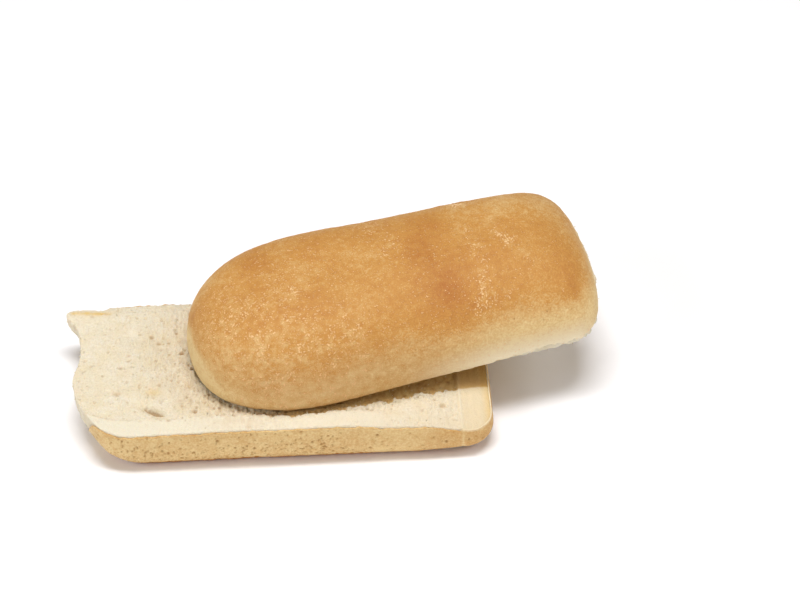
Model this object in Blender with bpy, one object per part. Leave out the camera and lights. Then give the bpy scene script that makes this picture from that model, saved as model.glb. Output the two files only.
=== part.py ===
"""A ciabatta hoagie roll, split along its length and laid open.

The bottom half lies on its flat underside with the cut face up. The top half rests on it, turned and
shifted, so that one end hangs past the bottom half. Metres, +Z up: +X runs along the bottom half and +Y to
the back. The origin is at floor level, under the middle of the box round both halves.
"""
import itertools
import math

import bpy
import numpy as np

# Bottom half: its plan is a rectangle with four unlike round corners (side in x, side in y, radius)
BASE_LENGTH = 0.191
BASE_WIDTH = 0.0845
BASE_HEIGHT = 0.0240
BASE_CORNERS = ((-1, -1, 0.028), (1, -1, 0.012), (1, 1, 0.012), (-1, 1, 0.004))
BASE_GRID = (62, 28)  # cells of the cut face along and across

# The torn left end: each entry is a place along y, a half width, and how far the edge stands out there
TORN_EDGE = (
    (0.0375, 0.0080, 0.0068),
    (0.0105, 0.0090, -0.0013),
    (-0.0070, 0.0060, 0.0014),
    (-0.0280, 0.0090, -0.0022),
)
EAR_CENTRE = (-0.0985, 0.0370)
EAR_SIZE = (0.0130, 0.0065)
EAR_RISE = 0.0016
BACK_STEP = 0.0030
BACK_STEP_SPAN = (-0.0860, -0.0820)
TORN_REACH = 8  # power: how fast the torn edge's shape fades inwards
CRAG_HEIGHT = 0.0012
CRAG_CELL = 0.0060

# Cut face of the bottom half
RIM_WIDTH = 0.0090
RIM_DROP = 0.0014
END_DIP = 0.0050
END_DIP_FROM = 0.0600
FRONT_DIP = 0.0026
FRONT_DIP_SPAN = (0.0280, 0.0560)
LEFT_DIP = 0.0018
CUT_WAVE = 0.0007
CUT_WAVE_SCALE = (0.0093, 0.0078, 0.0310)
SLIT_CENTRE = (-0.0590, -0.0282)
SLIT_SIZE = (0.0062, 0.0021)
SLIT_TURN = math.radians(-27.0)
SLIT_DEPTH = 0.0030
# Dents: x, y and half width
DENTS = ((-0.0600, -0.0163, 0.0038), (-0.0300, 0.0300, 0.0060), (-0.0720, 0.0200, 0.0050))
DENT_DEPTH = 0.0011

# Wall and underside of the bottom half
WALL_ROWS = (0.05, 0.18, 0.36, 0.56, 0.75, 0.88, 0.96, 1.0)  # depth below the rim, as a share of the wall
WALL_BULGE = 0.0011
FOOT_INSET = 0.0032
FOOT_POWER = 5.0
LEFT_FOOT_INSET = 0.0120
LEFT_FOOT_POWER = 0.7
LEFT_FOOT_REACH = 0.0350
UNDERSIDE_LIFT = 0.0026
UNDERSIDE_LIFT_FROM = 0.0550
FLAT_INSET = 0.0050

# Top half: a long dome with one round end and one blunt torn end
TOP_LENGTH = 0.1932
TOP_WIDTH = 0.0897
TOP_HEIGHT = 0.0425
TOP_FALL = 0.070  # the right end is lower than the left one by this share each way
ROUND_END_PLAN = (0.0626, 2.32)  # length of the rounding seen from above, and its superellipse power
ROUND_END_SIDE = (0.0730, 2.83)  # the same seen from the side
TORN_END_PLAN = (0.0257, 3.25)
TORN_END_SIDE = (0.0566, 3.65)
END_DROP = 0.0051  # how much lower still the dome's top is at the torn end
END_SKEW = 0.0020  # how far the torn end stands out at the back rim, and in at the front rim
END_SHAPE_FROM = 0.0300  # where along x the drop and the skew begin
SECTION_POWER = (2.94, 2.51)  # squareness of the cross-section at the round and the torn end
SECTION_BLEND = 0.0300
SIDE_CURVE = 0.0008
TUCK = 0.0015
TUCK_HEIGHT = 0.0090
TOP_WAVE = 0.0005
TOP_WAVE_SCALE = (0.0110, 0.0120, 0.0370)
TOP_STATIONS = (16, 15, 14)  # sections in the round end, the middle and the torn end
DOME_POINTS = 42
UNDERSIDE_POINTS = 22

# The top half's own cut face: the torn end curls up, and the crumb sags between the rims
CURL = 0.0090
CURL_FROM = -0.0500
CURL_POWER = 1.15
SAG_SPAN = (0.0400, 0.0900)
SAG_LEFT = 0.35
BELLY_POWER = 0.7
CRUMB_WAVE = 0.0004
CRUMB_WAVE_SCALE = (0.0067, 0.0085)
CRAG_FROM = 0.0780

# How the top half lies on the bottom half
TOP_PLACE = (0.0515, 0.0202)
TOP_TURN = math.radians(13.15)
REST_GAP = 0.0003

NOISE_TABLE = 24
NOISE_ORIGIN = 1.0
CRUST_COLOR = (0.62, 0.33, 0.12, 1.0)
CRUST_ROUGHNESS = 0.55
CRUMB_COLOR = (0.86, 0.76, 0.58, 1.0)
CRUMB_ROUGHNESS = 0.85


def clear_scene():
    """Empty the scene."""
    for scene_object in list(bpy.data.objects):
        bpy.data.objects.remove(scene_object, do_unlink=True)


def ease(value, start, end):
    """0 before start, 1 past end, with an S-shaped rise between."""
    t = np.clip((value - start) / (end - start), 0.0, 1.0)
    return t * t * (3.0 - 2.0 * t)


def bump(value, centre, half_width):
    """A bell of height 1 at centre."""
    return np.exp(-((value - centre) / half_width) ** 2)


def lattice_noise(points, cell, seed):
    """Seeded random values on a cubic lattice of the given cell, eased between its corners, from -1 to 1."""
    table = np.random.default_rng(seed).uniform(-1.0, 1.0, (NOISE_TABLE,) * 3)
    low = np.floor(points / cell).astype(int)
    t = points / cell - low
    t = t * t * (3.0 - 2.0 * t)
    total = np.zeros(points.shape[:-1])
    for corner in itertools.product((0, 1), repeat=3):
        index = (low + np.array(corner)) % NOISE_TABLE
        share = np.prod(np.where(np.array(corner) == 1, t, 1.0 - t), axis=-1)
        total += share * table[index[..., 0], index[..., 1], index[..., 2]]
    return total


def round_plan(u, v):
    """Grid coordinates from -1 to 1 to a rectangle whose corner squares are pressed into quarter discs."""
    x = u * BASE_LENGTH / 2.0
    y = v * BASE_WIDTH / 2.0
    for side_x, side_y, radius in BASE_CORNERS:
        in_x = np.clip((side_x * x - BASE_LENGTH / 2.0) / radius + 1.0, 0.0, 1.0)
        in_y = np.clip((side_y * y - BASE_WIDTH / 2.0) / radius + 1.0, 0.0, 1.0)
        x = x - side_x * radius * in_x * (1.0 - np.sqrt(1.0 - in_y ** 2 / 2.0))
        y = y - side_y * radius * in_y * (1.0 - np.sqrt(1.0 - in_x ** 2 / 2.0))
    return x, y


def base_plan(u, v):
    """The bottom half's plan: its left and back edges take the torn shape, which fades out inwards."""
    x, y = round_plan(u, v)
    stand_out = sum(reach * bump(y, place, half_width) for place, half_width, reach in TORN_EDGE)
    x = x - stand_out * ((1.0 - u) / 2.0) ** TORN_REACH
    step = BACK_STEP * (1.0 - ease(x, *BACK_STEP_SPAN))
    y = y - step * ((1.0 + v) / 2.0) ** TORN_REACH
    return x, y


def base_cut_height(x, y):
    """Height of the bottom half's cut face.

    A plane that drops towards the front and back rims and towards both ends, less a slow wave, a slit and a
    few shallow dents, plus the raised ear at the torn corner. Only the ear rises above BASE_HEIGHT.
    """
    to_edge = np.minimum(BASE_WIDTH / 2.0 - np.abs(y), BASE_LENGTH / 2.0 - x)
    height = BASE_HEIGHT - RIM_DROP * np.clip(1.0 - to_edge / RIM_WIDTH, 0.0, 1.0) ** 2
    height = height - END_DIP * ease(x, END_DIP_FROM, BASE_LENGTH / 2.0)
    frontness = 1.0 - ease(y, -BASE_WIDTH / 2.0, 0.0)
    height = height - FRONT_DIP * ease(x, *FRONT_DIP_SPAN) * frontness
    height = height - LEFT_DIP * (1.0 - ease(x, -BASE_LENGTH / 2.0, -BASE_LENGTH / 4.0)) * frontness
    wave_x, wave_y, wave_skew = CUT_WAVE_SCALE
    wave = np.sin(x / wave_x + 1.0) * np.cos(y / wave_y + x / wave_skew)
    height = height - CUT_WAVE * (0.5 + 0.5 * wave)
    along = (x - SLIT_CENTRE[0]) * math.cos(SLIT_TURN) + (y - SLIT_CENTRE[1]) * math.sin(SLIT_TURN)
    across = (y - SLIT_CENTRE[1]) * math.cos(SLIT_TURN) - (x - SLIT_CENTRE[0]) * math.sin(SLIT_TURN)
    height = height - SLIT_DEPTH * bump(along, 0.0, SLIT_SIZE[0]) * bump(across, 0.0, SLIT_SIZE[1])
    for dent_x, dent_y, half_width in DENTS:
        height = height - DENT_DEPTH * bump(x, dent_x, half_width) * bump(y, dent_y, half_width)
    return height + EAR_RISE * bump(x, EAR_CENTRE[0], EAR_SIZE[0]) * bump(y, EAR_CENTRE[1], EAR_SIZE[1])


def base_foot(u, v):
    """The loop where the wall meets the floor: the plain plan drawn in, most of all under the torn end."""
    x, y = round_plan(u, v)
    inset = np.where(x < 0.0, LEFT_FOOT_INSET, FOOT_INSET)
    foot_x = x - inset * (x / (BASE_LENGTH / 2.0)) ** 3
    foot_y = y * (1.0 - FOOT_INSET / (BASE_WIDTH / 2.0))
    lift = UNDERSIDE_LIFT * ease(x, UNDERSIDE_LIFT_FROM, BASE_LENGTH / 2.0)
    return np.stack([foot_x, foot_y, lift], axis=-1)


def base_wall(rim, foot, depth):
    """The wall's loop at a share of the way down.

    It bulges at mid height and turns in at the foot. Under the torn end it slopes in sooner and is craggy.
    """
    leftness = 1.0 - ease(foot[:, 0], -BASE_LENGTH / 2.0, -BASE_LENGTH / 2.0 + LEFT_FOOT_REACH)
    turn_in = depth ** (FOOT_POWER + (LEFT_FOOT_POWER - FOOT_POWER) * leftness)
    wall = rim + (foot - rim) * np.stack([turn_in, turn_in, np.full_like(turn_in, depth)], axis=-1)
    wall[:, :2] += outward_of(foot) * WALL_BULGE * math.sin(math.pi * depth)
    crags = CRAG_HEIGHT * lattice_noise(wall + NOISE_ORIGIN, CRAG_CELL, seed=5)
    wall[:, 0] -= crags * leftness * math.sin(math.pi * depth)
    return wall


def outward_of(loop):
    """Horizontal unit normals of an anticlockwise loop of points."""
    along = np.roll(loop, -1, axis=0)[:, :2] - np.roll(loop, 1, axis=0)[:, :2]
    outward = np.stack([along[:, 1], -along[:, 0]], axis=1)
    return outward / np.linalg.norm(outward, axis=1)[:, None]


def border_indices(rows, columns):
    """Indices of a grid's border, anticlockwise seen from above, for a grid stored row by row along +y."""
    front = np.arange(columns)
    right = np.arange(1, rows) * columns + columns - 1
    back = (rows - 1) * columns + np.arange(columns - 2, -1, -1)
    left = np.arange(rows - 2, 0, -1) * columns
    return np.concatenate([front, right, back, left])


def grid_faces(rows, columns):
    """Quads of a grid of points, facing up."""
    first = (np.arange(rows - 1)[:, None] * columns + np.arange(columns - 1)).ravel()
    return [(i, i + 1, i + columns + 1, i + columns) for i in first.tolist()]


def ring_faces(upper, lower):
    """Quads between an upper ring of indices and the ring below it, facing outwards."""
    count = len(upper)
    return [(lower[i], lower[(i + 1) % count], upper[(i + 1) % count], upper[i]) for i in range(count)]


def underside_faces(ring, rows, columns):
    """Faces inside a grid's border loop, facing down: strips from front to back and a fan at each end."""
    front = ring[:columns]
    right = ring[columns - 1:columns + rows - 1]
    back = ring[columns + rows - 2:2 * columns + rows - 2][::-1]
    left = ring[2 * columns + rows - 3:]
    faces = [(front[i], back[i], back[i + 1], front[i + 1]) for i in range(columns - 1)]
    faces += [(right[0], right[i + 1], right[i]) for i in range(1, rows - 1)]
    faces += [(ring[0], left[i + 1], left[i]) for i in range(rows - 2)]
    return faces


def add_piece(name, points, faces, materials, material_of_face):
    """Make a named mesh object with its materials."""
    mesh = bpy.data.meshes.new(name)
    mesh.from_pydata(points.tolist(), [], faces)
    for material in materials:
        mesh.materials.append(material)
    mesh.polygons.foreach_set("material_index", material_of_face)
    mesh.validate()
    mesh.shade_smooth()
    piece = bpy.data.objects.new(name, mesh)
    bpy.context.scene.collection.objects.link(piece)
    return piece


def base_mesh():
    """Points and faces of the bottom half: the cut face's grid, the wall's rings and a flat underside."""
    columns = BASE_GRID[0] + 1
    rows = BASE_GRID[1] + 1
    v, u = np.meshgrid(np.linspace(-1.0, 1.0, rows), np.linspace(-1.0, 1.0, columns), indexing="ij")
    x, y = base_plan(u, v)
    cut_face = np.stack([x, y, base_cut_height(x, y)], axis=-1).reshape(-1, 3)
    faces = grid_faces(rows, columns)
    crumb_faces = len(faces)

    ring = border_indices(rows, columns)
    rim = cut_face[ring]
    foot = base_foot(u.ravel()[ring], v.ravel()[ring])
    points = [cut_face]
    total = len(cut_face)
    for depth in WALL_ROWS:
        points.append(base_wall(rim, foot, depth))
        lower = np.arange(total, total + len(ring))
        faces += ring_faces(ring.tolist(), lower.tolist())
        ring = lower
        total += len(ring)

    left, right = foot[:, 0].min(), foot[:, 0].max()
    flat = foot * [1.0, 1.0 - FLAT_INSET / (BASE_WIDTH / 2.0), 0.0]
    flat[:, 0] = np.interp(foot[:, 0], (left, right), (left + FLAT_INSET, UNDERSIDE_LIFT_FROM))
    points.append(flat)
    lower = np.arange(total, total + len(ring))
    faces += ring_faces(ring.tolist(), lower.tolist())
    faces += underside_faces(lower.tolist(), rows, columns)
    material_of_face = [0] * crumb_faces + [1] * (len(faces) - crumb_faces)
    return np.concatenate(points), faces, material_of_face


def end_rounding(x, rounding):
    """Share of the full size left at x, falling to nothing at the end along a superellipse."""
    length, power = rounding
    inwards = np.clip((np.abs(x) - TOP_LENGTH / 2.0) / length + 1.0, 0.0, 1.0)
    return (1.0 - inwards ** power) ** (1.0 / power)


def top_stations():
    """Places of the top half's cross-sections, closer together where the ends turn down."""
    half = TOP_LENGTH / 2.0
    round_count, middle_count, torn_count = TOP_STATIONS
    turn = np.linspace(0.0, math.pi / 2.0, round_count + 1)
    left = -half + ROUND_END_PLAN[0] * (1.0 - np.cos(turn) ** (2.0 / ROUND_END_PLAN[1]))
    turn = np.linspace(math.pi / 2.0, 0.0, torn_count + 1)
    right = half - TORN_END_PLAN[0] * (1.0 - np.cos(turn) ** (2.0 / TORN_END_PLAN[1]))
    middle = np.linspace(left[-1], right[0], middle_count + 1)
    return np.concatenate([left[1:-1], middle, right[1:-1]])


def curl(x):
    """How far the top half's cut edge is lifted at x, because the torn end curls up."""
    return CURL * np.clip((x - CURL_FROM) / (TOP_LENGTH / 2.0 - CURL_FROM), 0.0, 1.0) ** CURL_POWER


def top_half_width(x):
    """Half the top half's width at x."""
    end = np.where(x > 0.0, end_rounding(x, TORN_END_PLAN), end_rounding(x, ROUND_END_PLAN))
    return TOP_WIDTH / 2.0 * end


def top_dome(x, turn):
    """Point of the dome at station x, for a turn from 0 at the front rim to pi at the back rim.

    The section is a superellipse whose width and height follow the end roundings. Its foot tucks in under the
    widest line, and the whole section rises with the curl. Towards the torn end the top drops and the
    section is skewed, both by the square of the way there.
    """
    height_share = np.where(x > 0.0, end_rounding(x, TORN_END_SIDE), end_rounding(x, ROUND_END_SIDE))
    height = TOP_HEIGHT * height_share * (1.0 - TOP_FALL * x / (TOP_LENGTH / 2.0))
    blend = 0.5 + 0.5 * np.tanh(x / SECTION_BLEND)
    power = SECTION_POWER[0] * (1.0 - blend) + SECTION_POWER[1] * blend
    across = -np.sign(np.cos(turn)) * np.abs(np.cos(turn)) ** (2.0 / power) * top_half_width(x)
    up = np.sin(turn) ** (2.0 / power) * height
    tuck = TUCK * np.clip(1.0 - up / TUCK_HEIGHT, 0.0, 1.0) ** 2
    across = across * (1.0 - tuck / (TOP_WIDTH / 2.0))
    along = x * (1.0 - tuck / (TOP_LENGTH / 2.0))
    wave_x, wave_y, wave_skew = TOP_WAVE_SCALE
    wave = TOP_WAVE * np.sin(along / wave_x + 0.7) * np.cos(across / wave_y - along / wave_skew)
    up = up + wave * np.clip(up / TOP_HEIGHT, 0.0, 1.0)
    across = across + SIDE_CURVE * (1.0 - (along / (TOP_LENGTH / 2.0)) ** 2)
    near_end = np.clip((along - END_SHAPE_FROM) / (TOP_LENGTH / 2.0 - END_SHAPE_FROM), 0.0, 1.0) ** 2
    up = up * (1.0 - END_DROP / TOP_HEIGHT * near_end)
    skewed = along + END_SKEW * near_end * across / (TOP_WIDTH / 2.0)
    return np.stack([skewed, across, up + curl(along)], axis=-1)


def top_underside(front_rim, back_rim, share):
    """Point of the top half's cut face at a share of the way from the back rim to the front rim.

    Between the rims the crumb sags from the curled edge down to the level of the flat part.
    """
    point = back_rim * (1.0 - share[..., None]) + front_rim * share[..., None]
    x = point[..., 0]
    sagging = 1.0 - (1.0 - SAG_LEFT) * ease(x, *SAG_SPAN)
    belly = (4.0 * share * (1.0 - share)) ** BELLY_POWER
    point[..., 2] -= curl(x) * sagging * belly
    wave = 0.5 + 0.5 * np.sin(x / CRUMB_WAVE_SCALE[0]) * np.cos(point[..., 1] / CRUMB_WAVE_SCALE[1])
    point[..., 2] += CRUMB_WAVE * wave * belly
    return point


def roughen_torn_end(points):
    """Crags on the blunt torn end: the surface stands in and out along x by a seeded noise."""
    depth = CRAG_HEIGHT * lattice_noise(points + NOISE_ORIGIN, CRAG_CELL, seed=3)
    depth = depth + CRAG_HEIGHT / 2.0 * lattice_noise(points + NOISE_ORIGIN, CRAG_CELL / 2.0, seed=4)
    rough = points.copy()
    rough[..., 0] += depth * ease(points[..., 0], CRAG_FROM, TOP_LENGTH / 2.0)
    return rough


def top_mesh():
    """Points and faces of the top half: closed sections joined one to the next, with a point at each tip."""
    x = top_stations()[:, None]
    turn = np.linspace(0.0, math.pi, DOME_POINTS)[None, :]
    dome = top_dome(x, turn)
    share = np.linspace(0.0, 1.0, UNDERSIDE_POINTS + 2)[None, 1:-1]
    underside = top_underside(dome[:, :1], dome[:, -1:], share)
    sections = roughen_torn_end(np.concatenate([dome, underside], axis=1))
    count, around = sections.shape[:2]
    tips = np.array([[-TOP_LENGTH / 2.0, 0.0, 0.0], [TOP_LENGTH / 2.0, 0.0, CURL]])
    points = np.concatenate([sections.reshape(-1, 3), tips])
    faces = []
    material_of_face = []
    for i in range(count - 1):
        for j in range(around):
            k = (j + 1) % around
            faces.append((i * around + j, (i + 1) * around + j, (i + 1) * around + k, i * around + k))
            material_of_face.append(0 if j < DOME_POINTS - 1 else 1)
    for j in range(around):
        k = (j + 1) % around
        last = (count - 1) * around
        faces.append((count * around, j, k))
        faces.append((count * around + 1, last + k, last + j))
        material_of_face += [0, 0]
    return points, faces, material_of_face


def place_top(points):
    """Turn the top half about the vertical and set it down on the bottom half's cut face."""
    placed = points.copy()
    placed[:, 0] = TOP_PLACE[0] + points[:, 0] * math.cos(TOP_TURN) - points[:, 1] * math.sin(TOP_TURN)
    placed[:, 1] = TOP_PLACE[1] + points[:, 0] * math.sin(TOP_TURN) + points[:, 1] * math.cos(TOP_TURN)
    placed[:, 2] = points[:, 2] + BASE_HEIGHT + REST_GAP
    return placed


def bread_material(name, color, roughness):
    """A plain matt food material."""
    material = bpy.data.materials.new(name)
    material.use_nodes = True
    shader = material.node_tree.nodes["Principled BSDF"]
    shader.inputs["Base Color"].default_value = color
    shader.inputs["Roughness"].default_value = roughness
    shader.inputs["Metallic"].default_value = 0.0
    return material


def build():
    """Make both halves and centre them over the origin."""
    clear_scene()
    crust = bread_material("baked_crust", CRUST_COLOR, CRUST_ROUGHNESS)
    crumb = bread_material("bread_crumb", CRUMB_COLOR, CRUMB_ROUGHNESS)
    base_points, base_faces, base_materials = base_mesh()
    top_points, top_faces, top_materials = top_mesh()
    top_points = place_top(top_points)
    both = np.concatenate([base_points, top_points])
    middle = (both.min(axis=0) + both.max(axis=0)) / 2.0
    shift = np.array([-middle[0], -middle[1], 0.0])
    add_piece("bottom_half", base_points + shift, base_faces, (crumb, crust), base_materials)
    add_piece("top_half", top_points + shift, top_faces, (crust, crumb), top_materials)


build()
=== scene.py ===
"""The looks of a split ciabatta hoagie roll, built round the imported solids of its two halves.

Each half is a thin shell of baked crust round a solid of crumb. Their surfaces repeat the form of the solids
that they replace, on a finer grid, with pores, pits, blisters and torn fibres as relief. All sizes and places
are in millimetres, and add_piece turns them into metres.
"""
import itertools
import math

import bpy
import numpy as np
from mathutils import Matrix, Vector


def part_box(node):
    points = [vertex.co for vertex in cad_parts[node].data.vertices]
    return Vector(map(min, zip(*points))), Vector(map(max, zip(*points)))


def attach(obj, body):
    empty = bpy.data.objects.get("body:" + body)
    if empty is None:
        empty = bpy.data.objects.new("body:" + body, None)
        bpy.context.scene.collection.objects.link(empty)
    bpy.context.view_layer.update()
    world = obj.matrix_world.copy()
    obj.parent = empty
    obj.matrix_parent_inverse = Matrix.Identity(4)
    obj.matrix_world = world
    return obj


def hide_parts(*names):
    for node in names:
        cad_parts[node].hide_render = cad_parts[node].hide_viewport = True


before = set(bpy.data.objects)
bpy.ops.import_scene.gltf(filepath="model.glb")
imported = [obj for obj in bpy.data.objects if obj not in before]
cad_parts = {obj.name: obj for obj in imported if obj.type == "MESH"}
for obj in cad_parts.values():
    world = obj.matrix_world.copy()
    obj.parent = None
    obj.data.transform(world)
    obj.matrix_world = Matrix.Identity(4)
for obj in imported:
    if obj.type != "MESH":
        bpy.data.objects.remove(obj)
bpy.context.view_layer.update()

MM = 0.001

# Bottom half: its plan is a rectangle with four unlike round corners (side in x, side in y, radius)
BASE_LENGTH = 191.0
BASE_WIDTH = 84.5
BASE_HEIGHT = 24.0
BASE_CORNERS = ((-1, -1, 28.0), (1, -1, 12.0), (1, 1, 12.0), (-1, 1, 4.0))

# The torn left end: each entry is a place along y, a half width, and how far the edge stands out there
TORN_EDGE = ((37.5, 8.0, 6.8), (10.5, 9.0, -1.3), (-7.0, 6.0, 1.4), (-28.0, 9.0, -2.2))
EAR_CENTRE = (-98.5, 37.0)
EAR_SIZE = (13.0, 6.5)
EAR_RISE = 1.6
BACK_STEP = 3.0  # how far the back edge steps in at the torn end
BACK_STEP_SPAN = (-86.0, -82.0)
TORN_REACH = 8  # power: how fast the torn edge's shape fades inwards
TORN_END_FADE = (-93.0, -84.0)  # where the crust sets in again, along x
TORN_FRONT_RISE = (-38.0, -26.0)  # and along y, at the front corner
BARE_WALL_FADE = (0.74, 0.86)  # and down the wall, as shares of its height
CRAG_HEIGHT = 1.2
CRAG_CELL = 6.0

# Cut face of the bottom half
RIM_WIDTH = 9.0  # how far in from the edge the face starts to drop
RIM_DROP = 1.4
END_DIP = 5.0
END_DIP_FROM = 60.0
FRONT_DIP = 2.6
FRONT_DIP_SPAN = (28.0, 56.0)
LEFT_DIP = 1.8
CUT_WAVE = 0.7
CUT_WAVE_SCALE = (9.3, 7.8, 31.0)  # along x, along y, and how the wave skews with x
SLIT_CENTRE = (-59.0, -28.2)
SLIT_SIZE = (6.2, 2.1)  # half length and half width of the bell that sinks round it
SLIT_TURN = math.radians(-27.0)
SLIT_DEPTH = 3.0
DENTS = ((-60.0, -16.3, 3.8), (-30.0, 30.0, 6.0), (-72.0, 20.0, 5.0))  # x, y and half width
DENT_DEPTH = 1.1

# Wall and underside of the bottom half
WALL_BULGE = 1.1
FOOT_INSET = 3.2
FOOT_POWER = 5.0  # how late the wall turns in on its way down
LEFT_FOOT_INSET = 12.0
LEFT_FOOT_POWER = 0.7
LEFT_FOOT_REACH = 35.0
UNDERSIDE_LIFT = 2.6
UNDERSIDE_LIFT_FROM = 55.0
FLAT_INSET = 5.0  # from the foot to the flat part of the underside

# Top half: a long dome with one round end and one blunt torn end
TOP_LENGTH = 193.2
TOP_WIDTH = 89.7
TOP_HEIGHT = 42.5
TOP_FALL = 0.070  # share of its height that the dome loses from its middle to its torn end
ROUND_END_PLAN = (62.6, 2.32)  # length of the rounding seen from above, and its superellipse power
ROUND_END_SIDE = (73.0, 2.83)
TORN_END_PLAN = (25.7, 3.25)
TORN_END_SIDE = (56.6, 3.65)
END_DROP = 5.1  # how far the top drops at the torn end
END_SKEW = 2.0
END_SHAPE_FROM = 30.0
SECTION_POWER = (2.94, 2.51)  # superellipse power of the section at the round end and at the torn end
SECTION_BLEND = 30.0
SIDE_CURVE = 0.8  # how far the middle is moved back
TUCK = 1.5  # how far the foot tucks in under the widest line
TUCK_HEIGHT = 9.0
TOP_WAVE = 0.5
TOP_WAVE_SCALE = (11.0, 12.0, 37.0)
CURL = 9.0  # how far the torn end's rims are lifted
CURL_FROM = -50.0
CURL_POWER = 1.15
SAG_SPAN = (40.0, 90.0)
SAG_LEFT = 0.35  # share of the sag that is left at the torn end
BELLY_POWER = 0.7
CRUMB_WAVE = 0.4
CRUMB_WAVE_SCALE = (6.7, 8.5)
CRAG_FROM = 78.0

# How the top half lies on the bottom half
TOP_PLACE = (51.5, 20.2)
TOP_TURN = math.radians(13.15)
REST_GAP = 0.3

# Crust shell
CRUST_EDGE = 0.45  # thickness where it is cut
CRUST_THICKNESS = 1.3
SHELL_GAP = 0.05  # between crust and crumb
TORN_CRUST_EDGE = 2.4  # how far the crust stops short of the torn end of the top half
TORN_CRUST_WANDER = 1.1
CRUST_EDGE_LOOP = 30.0  # radius of the circle on which its noise is read

# Grids: cells along and across, or points around and along
CUT_GRID = (420, 165)
WALL_GRID = (420, 186)
CRUST_WALL_ROWS = 48
CRUMB_WALL_ROWS = 20
INNER_ROWS = 5
TOP_STATIONS = 330
CRUST_ARC = 236
CRUST_INNER_ARC = 24
CRUMB_ARC = 96
CRUMB_UNDERSIDE = 120
DENSE_SAMPLES = 4001  # along a line that is cut into even pieces
SHIFT_ROWS = 41  # of the wall that is measured to find its place in the frame

# Seeded tables that repeat: random values of a noise, and bubbles
NOISE_TABLE = 24
BUBBLE_TABLE = 48
NOISE_ORIGIN = 1000.0  # keeps the places in a noise above zero

# Relief of the crumb: lattice cell, smallest and largest radius, share of the cells, and depth from 0 to 1
CRUMB_BUBBLES = ((6.0, 0.6, 1.7, 0.35, 1.0), (2.6, 0.4, 1.0, 0.6, 0.75), (1.4, 0.3, 0.6, 0.8, 0.45))
PORE_DEPTH = 1.1
FINE_FIBRE = (0.9, 2.2, 1.6)  # size of the torn fuzz along x, y and z
COARSE_FIBRE = (2.0, 3.4, 3.0)
FIBRE_HEIGHT = 0.38
SINGLE_PORES = (  # x, y and half width
    (-76.5, -16.6, 1.5), (-75.4, -0.1, 1.0), (-58.3, 15.3, 1.2), (-72.1, 7.5, 0.9), (-52.2, -34.8, 1.0),
)
SINGLE_PORE_DEPTH = 0.7
SLIT_MOUTH = (5.6, 1.2)  # half length and half width of the slit's crisp opening
SLIT_MOUTH_DEPTH = 1.0
RIGHT_TINT = 0.08  # the right part of the cut face is a little browner
RIGHT_TINT_SPAN = (-10.0, 30.0)
EAR_CRUST = ((-99.0, 36.2), (-91.0, 36.6), (-83.0, 36.0))  # a line of crust that is left on the ear
EAR_CRUST_WIDTH = 1.3

# The smooth band along the front rim of the cut face
BAND_WIDTH = 7.5
BAND_SOFTNESS = 1.6
BAND_FADE = (35.0, 62.0)
BAND_RIDGE = 0.4

# The folded strip at the right end of the cut face
STRIP_EDGE = (79.6, 81.6)
STRIP_RISE = 0.5
STRIP_FOLD = 0.35  # the ridge along its left edge
STRIP_WRINKLE = 0.09
STRIP_TAN = 0.25
STRIP_AMBER = 0.40  # added where it meets the end wall
STRIP_CREASE = 0.3  # where its fold runs down the front wall

# Crumb that is torn up: beside the round end of the top half, and in tufts along its front rim
TORN_UP_REACH = 11.0
TORN_UP_FADE = (-20.0, 20.0)
# painted shade on the torn-up crumb beside the top half's round end, where the top half keeps light off it
PAINTED_SHADE_BY_ROUND_END = 0.32
TUFT_LINE = (2.6, 2.2)  # distance from the top half, and half width
TUFT_START = (-25.0, 10.0)
TUFT_END = (77.0, 80.0)

# The ragged hollow in the cut face under the top half's front rim: sunk a little, and painted with a warm
# shade
HOLLOW_DEPTH = 1.0
HOLLOW_BACK = (-16.0, -10.0)
HOLLOW_START = (-20.0, 8.0)
# painted shade in the hollow: a warm tan, with a darker tint over it
HOLLOW_PAINTED_WARM_SHADE = 0.85
HOLLOW_PAINTED_SHADE = 0.42

# Relief of the crust: noise cell and height; and pits of the wall: cell, smallest and largest radius, share
CRUST_SWELLS = ((19.0, 0.32), (5.0, 0.16), (1.4, 0.07))
WALL_PITS = ((2.4, 0.45, 1.0, 0.9), (1.5, 0.35, 0.7, 0.9))
PIT_DEPTH = 0.7
PIT_TOP_SHARE = 0.25  # share of the pits that is left near the rim
FOOT_NOTCH = 1.0  # how far the wall's foot lifts off the board in places
BLISTER_HEIGHT = 0.10
CRINKLE_HEIGHT = 0.12
CRINKLE_LENGTH = 0.5  # crest spacing over two pi
RAGGED_RIM = 2.4  # the most that the crust stops short of the top half's lower rim
RIM_FRINGE = 0.3  # how far crumb hangs below that rim
RIM_STAND_OUT = 0.7  # how far crumb stands out past the crust there

# Torn fibres
BASE_SHREDS = 1100
TOP_SHREDS = 300
SHRED_WIDTH = (0.18, 0.38)
SHRED_SUNK = 0.4

# Colours of the crust. A toast of 0 is pale, 0.5 golden and 1 brown
PALE_CRUST = "E0C893"
GOLDEN_CRUST = "C08D49"
BROWN_CRUST = "A5652B"
PIT_CRUST = "A67A40"
DUSTED_CRUST = "D6A467"
CREAM_CRUST = "ECE3C8"
FLOUR = "E6C08C"
WALL_TOAST = 0.13
AMBER_END = 0.21  # added towards the right end of the wall
TOP_TOAST = 0.52
LOWER_SIDE_TOAST = 0.30  # the pale lower side of the top half, at its round end
LOWER_SIDE_HEIGHT = 13.0  # how high it reaches there
MOTTLE_DEPTH = 0.14  # how far the baked surface's mottle and fine grain shift its toast
GRAIN_DEPTH = 0.30

# Colours of the crumb
CREAM_CRUMB = "E6E0CF"
WARM_CRUMB = "E2D7BD"
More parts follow.
